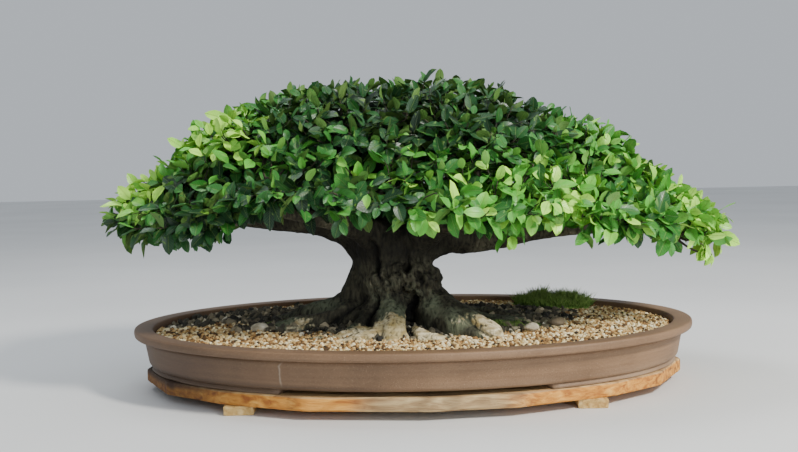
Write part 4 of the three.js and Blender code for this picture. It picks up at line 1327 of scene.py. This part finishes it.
def leaves_of(place, way, deep, random):
    """The leaves of each shoot: round it by the golden turn, the youngest nearly upright at its tip and
    the oldest spread wide or hanging. Every blade turns its upper face to the light."""
    count = len(place)
    level = np.tile(np.arange(LEAVES_ON_SHOOT), count)
    shoot = np.repeat(np.arange(count), LEAVES_ON_SHOOT)
    axis = way[shoot]
    start = place[shoot] - axis * (5.0 * level + 2 * random.random(len(level)))[:, None]
    first = unit(np.cross(axis, unit(random.normal(size=(count, 3)))[shoot]))
    second = np.cross(axis, first)
    around = level * GOLDEN_TURN + 0.5 * random.normal(size=len(level))
    radial = np.cos(around)[:, None] * first + np.sin(around)[:, None] * second
    lean = np.radians(24 + 17 * level + 10 * random.normal(size=len(level)))
    along = np.cos(lean)[:, None] * axis + np.sin(lean)[:, None] * radial
    along = unit(along - (0.10 + 0.22 * np.sin(lean))[:, None] * UP)
    outward = crown_normal(start[:, 0], start[:, 1])
    light = unit(0.30 * axis + 0.44 * outward + 0.36 * UP + 0.52 * random.normal(size=along.shape))
    facing = unit(light - (light * along).sum(axis=1, keepdims=True) * along)
    length = LEAF_LENGTHS[level] * (0.82 + 0.32 * random.random(len(level)))
    young = YOUNG_TONES[level] * (0.3 + 1.2 * random.random(count))[shoot]
    of_shoot = 0.07 * random.normal(size=count)[shoot]
    # Leaves deep in the crown are darker: partly older leaves, partly painted shade.
    tone = 0.40 + young + of_shoot - 0.24 * deep[shoot] + 0.10 * random.normal(size=len(level))
    # A few outer leaves are much lighter: partly young leaves, partly painted glints of sun.
    tone += 0.30 * (random.random(len(level)) < 0.06) * (1 - deep[shoot])
    return leaves(start, along, facing, length, random), tone, start


def sunned(tone, start):
    """Painted sunlight and shade in the leaves' tones by their place in the crown: lighter at both ends,
    at the left top and low in the middle, darker low on the left and on top, and lumpy all over."""
    x, _, z = start.T
    tip = smooth(-x, 315, 375)
    right_end = 0.23 * smooth(x, 120, 420) + 0.15 * smooth(x, 320, 400)
    left_top = 0.34 * smooth(-x, 110, 240) * smooth(z, 300, 335) * (1 - tip)
    # Painted light at the left tip, as of sun shining through the leaves.
    left_top += 0.64 * tip * smooth(z, 238, 266)
    left_low = 0.15 * smooth(-x, 60, 190) * (1 - smooth(z, 285, 312)) * (1 - tip)
    low_middle = 0.27 * smooth(x, -40, 50) * (1 - smooth(x, 200, 300)) * (1 - smooth(z, 276, 322))
    left_top += 0.20 * bump((x + 132) / 34) * smooth(z, 365, 395)
    right_end += 0.18 * bump((x - 235) / 42) * smooth(z, 325, 350)
    # Painted flecks of sun over the right half.
    right_end += 0.26 * smooth(x, 30, 140) * smooth(lumps(start, 9, 46), 0.60, 0.85)
    tone = tone + right_end + left_top - left_low + low_middle + 0.10 * lumps(start, 75, 45)
    # Painted shade over the top of the crown, strongest on the lighter leaves.
    top = smooth(z, 296, 372) * (1 - smooth(np.abs(x - 15), 165, 260))
    return tone - top * (0.24 + 0.5 * np.maximum(tone - 0.4, 0))


def spray_mesh(name, points, tone):
    """The leaves of one spray, with their tones, which faces look down and the blade's coordinates."""
    quads, fans, quads_beneath, fans_beneath = leaf_faces()
    offset = LEAF_POINTS * np.arange(len(points))[:, None, None]
    mesh = new_mesh(
        name,
        points.reshape(-1, 3),
        (quads + offset).reshape(-1, 4),
        (fans + offset).reshape(-1, 3),
        {"tone": np.repeat(tone, LEAF_POINTS)},
    )
    beneath = np.concatenate([
        np.tile(np.repeat(quads_beneath, 4), len(points)),
        np.tile(np.repeat(fans_beneath, 3), len(points)),
    ])
    give_numbers(mesh, {"beneath": beneath}, "CORNER")
    corners = np.empty(len(mesh.loops), np.int32)
    mesh.loops.foreach_get("vertex_index", corners)
    flat = np.stack([0.5 + 0.5 * LEAF_ACROSS, LEAF_ALONG], -1)
    uv = flat[corners % LEAF_POINTS].astype(np.float32)
    mesh.uv_layers.new(name="leaf").data.foreach_set("uv", uv.ravel())
    mesh.set_sharp_from_angle(angle=math.radians(75))
    return mesh


def make_leaves(place, way, deep):
    """All the leaves, each in the spray whose solid has the nearest middle. Gives back the middles."""
    random = np.random.default_rng(SEED + 5)
    points, tone, start = leaves_of(place, way, deep, random)
    tone = np.clip(sunned(tone, start), 0, 1)
    sprays = [f"leaf_spray_{i:02d}" for i in range(1, 26)]
    middles = np.array([(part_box(name)[0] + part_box(name)[1]) / 2 for name in sprays])
    middles = (middles - POT_MIDDLE) / MM
    nearest = np.linalg.norm(start[:, None] - middles[None], axis=-1).argmin(axis=1)
    green = leaf_material()
    for i, name in enumerate(sprays):
        mine = nearest == i
        show(name + "_leaves", spray_mesh(name, points[mine], tone[mine]), green, [name])
    return middles


def curved(start, bend, end, thick, thin, steps):
    """Quadratic curves from start to end that lean towards bend, with radii that taper evenly."""
    t = np.linspace(0, 1, steps)[None, :, None]
    path = (1 - t) ** 2 * start[:, None] + 2 * t * (1 - t) * bend[:, None] + t ** 2 * end[:, None]
    share = np.linspace(0, 1, steps)
    radii = thick[:, None] * (1 - share) + thin * share
    return path, radii


def make_twigs(place, way, middles):
    """Branch to each spray, twig to each cluster of shoots and stalk to each shoot, each thinner."""
    random = np.random.default_rng(SEED + 6)
    limbs = np.concatenate([smooth_path(line, 40)[8:] for line in LIMBS])
    rise = np.maximum(0, limbs[None, :, 2] - middles[:, None, 2] + 25)
    far = np.linalg.norm(limbs[None, :, :3] - middles[:, None], axis=-1) + 4 * rise
    origin = limbs[far.argmin(axis=1)]
    length = np.linalg.norm(middles - origin[:, :3], axis=-1)
    bend = (origin[:, :3] + middles) / 2 - 0.12 * length[:, None] * UP
    branches = curved(origin[:, :3], bend, middles, np.minimum(7, origin[:, 3]), 2.6, 9)
    spray = np.linalg.norm(place[:, None] - middles[None], axis=-1).argmin(axis=1)
    cell = np.floor(place / 46).astype(int)
    key = np.concatenate([spray[:, None], cell], axis=1)
    _, cluster = np.unique(key, axis=0, return_inverse=True)
    cluster = cluster.ravel()
    size = np.bincount(cluster)
    hub = np.stack([np.bincount(cluster, place[:, i]) / size for i in range(3)], -1)
    owner = np.zeros(len(size), int)
    owner[cluster] = spray
    inner = middles[owner] - 22 * crown_normal(middles[owner, 0], middles[owner, 1])
    hub = hub - 0.36 * (hub - inner) - 6 * UP
    elbow = (hub + inner) / 2 - 0.10 * np.linalg.norm(hub - inner, axis=-1)[:, None] * UP
    elbow = elbow + 5 * random.normal(size=elbow.shape)
    twigs = curved(inner, elbow, hub, np.full(len(hub), 2.2), 1.3, 6)
    stalk_start = hub[cluster]
    stalk_bend = place - way * 0.45 * np.linalg.norm(place - stalk_start, axis=-1)[:, None]
    stalks = curved(stalk_start, stalk_bend, place, np.full(len(place), 1.2), 0.7, 4)
    body = together(bars(*branches, 7), bars(*twigs, 5), bars(*stalks, 3))
    show_body("twigs", body, twig_material(), [])


def make_board():
    """The sawn outline is read from the solid's top edge. A worn profile is carried round it, and
    chance chips its edges."""
    points = points_of(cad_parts["board"].data)
    rim = points[points[:, 2] > BOARD_TOP - 0.5][:, :2]
    rim = np.unique(np.round(rim, 1), axis=0)
    corners = rim[np.argsort(np.arctan2(rim[:, 1], rim[:, 0]))]
    cuts = 14
    share = np.linspace(0, 1, cuts, endpoint=False)[None, :, None]
    line = corners[:, None] * (1 - share) + np.roll(corners, -1, axis=0)[:, None] * share
    outline = line.reshape(-1, 2)
    profile = np.array([
        [40, BOARD_BOTTOM], [4, BOARD_BOTTOM], [1.2, BOARD_BOTTOM + 0.2], [0.3, BOARD_BOTTOM + 1.2],
        [0, 16], [0, 21], [0, 26], [0.3, BOARD_TOP - 1.4], [1.3, BOARD_TOP - 0.3], [4, BOARD_TOP],
        [40, BOARD_TOP], [120, BOARD_TOP],
    ])
    way = unit(outline)
    flat = outline[None] - way[None] * profile[:, :1, None]
    rings = xyz(flat[..., 0], flat[..., 1], profile[:, 1:])
    edge = bump(profile[:, :1] / 4)
    chips = np.maximum(0, lumps(rings, 9, 51)) * 1.1
    splinters = np.maximum(0, lumps(rings * [0.3, 0.3, 1], 5, 52)) * 0.7
    rings[..., :2] -= way[None] * ((chips + splinters) * edge)[..., None]
    body = round_body(rings, (0, 0, BOARD_BOTTOM), (0, 0, BOARD_TOP))
    show_body("sawn_board", body, board_material(), ["board"], sharp=50)


def make_batten(name, material):
    """A rectangle with broken corners, from cosine and sine to the 0.16, carried along y, rough from the
    saw and a little smaller at its very ends."""
    low, high = [(np.array(corner) - POT_MIDDLE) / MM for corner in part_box(name)]
    middle = (low + high) / 2
    half = (high - low) / 2
    turn = np.linspace(0, 2 * math.pi, 40, endpoint=False)
    power = 0.16
    across = half[0] * np.sign(np.cos(turn)) * np.abs(np.cos(turn)) ** power
    height = half[2] * np.sign(np.sin(turn)) * np.abs(np.sin(turn)) ** power
    end = half[1] - np.array([0.0, 0.8])
    steps = np.concatenate([-end, np.linspace(-half[1] + 4, half[1] - 4, 36), end[::-1]])[:, None]
    shrink = np.ones((len(steps), 1))
    shrink[[0, -1]] = 0.94
    rings = xyz(middle[0] + across * shrink, middle[1] + steps, middle[2] + height * shrink)
    rough = 0.6 * lumps(rings * [1, 0.3, 1], 6, 61)
    rings[..., 0] += rough * np.sign(across)[None]
    rings = rings[::-1]
    body = round_body(rings, rings[0].mean(axis=0), rings[-1].mean(axis=0))
    show_body(name + "_rough", body, material, [name], sharp=50)


def make_floor():
    """A wide square of plain floor."""
    mesh = bpy.data.meshes.new("floor")
    reach = 9.0
    corners = [(-reach, -reach, 0), (reach, -reach, 0), (reach, reach, 0), (-reach, reach, 0)]
    mesh.from_pydata(corners, [], [(0, 1, 2, 3)])
    mesh.materials.append(floor_material())
    floor = linked("floor", mesh)


photograph_camera()
studio()
make_floor()
make_board()
batten_wood = batten_material()
for name in ("batten_left", "batten_right"):
    make_batten(name, batten_wood)
make_pot()
mesh_plastic = plastic_mesh_material()
for name in ("drain_mesh_left", "drain_mesh_right"):
    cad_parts[name].material_slots[0].material = mesh_plastic
make_soil()
make_gravel()
make_mulch()
moss_green = moss_material()
for name, row in MOSS.items():
    make_moss(name, moss_green, *row)
pale_stone = stone_material()
for name, row in STONES.items():
    make_stone(name, pale_stone, *row)
make_wood()
shoot_place, shoot_way, shoot_depth = shoots()
spray_middles = make_leaves(shoot_place, shoot_way, shoot_depth)
make_twigs(shoot_place, shoot_way, spray_middles)
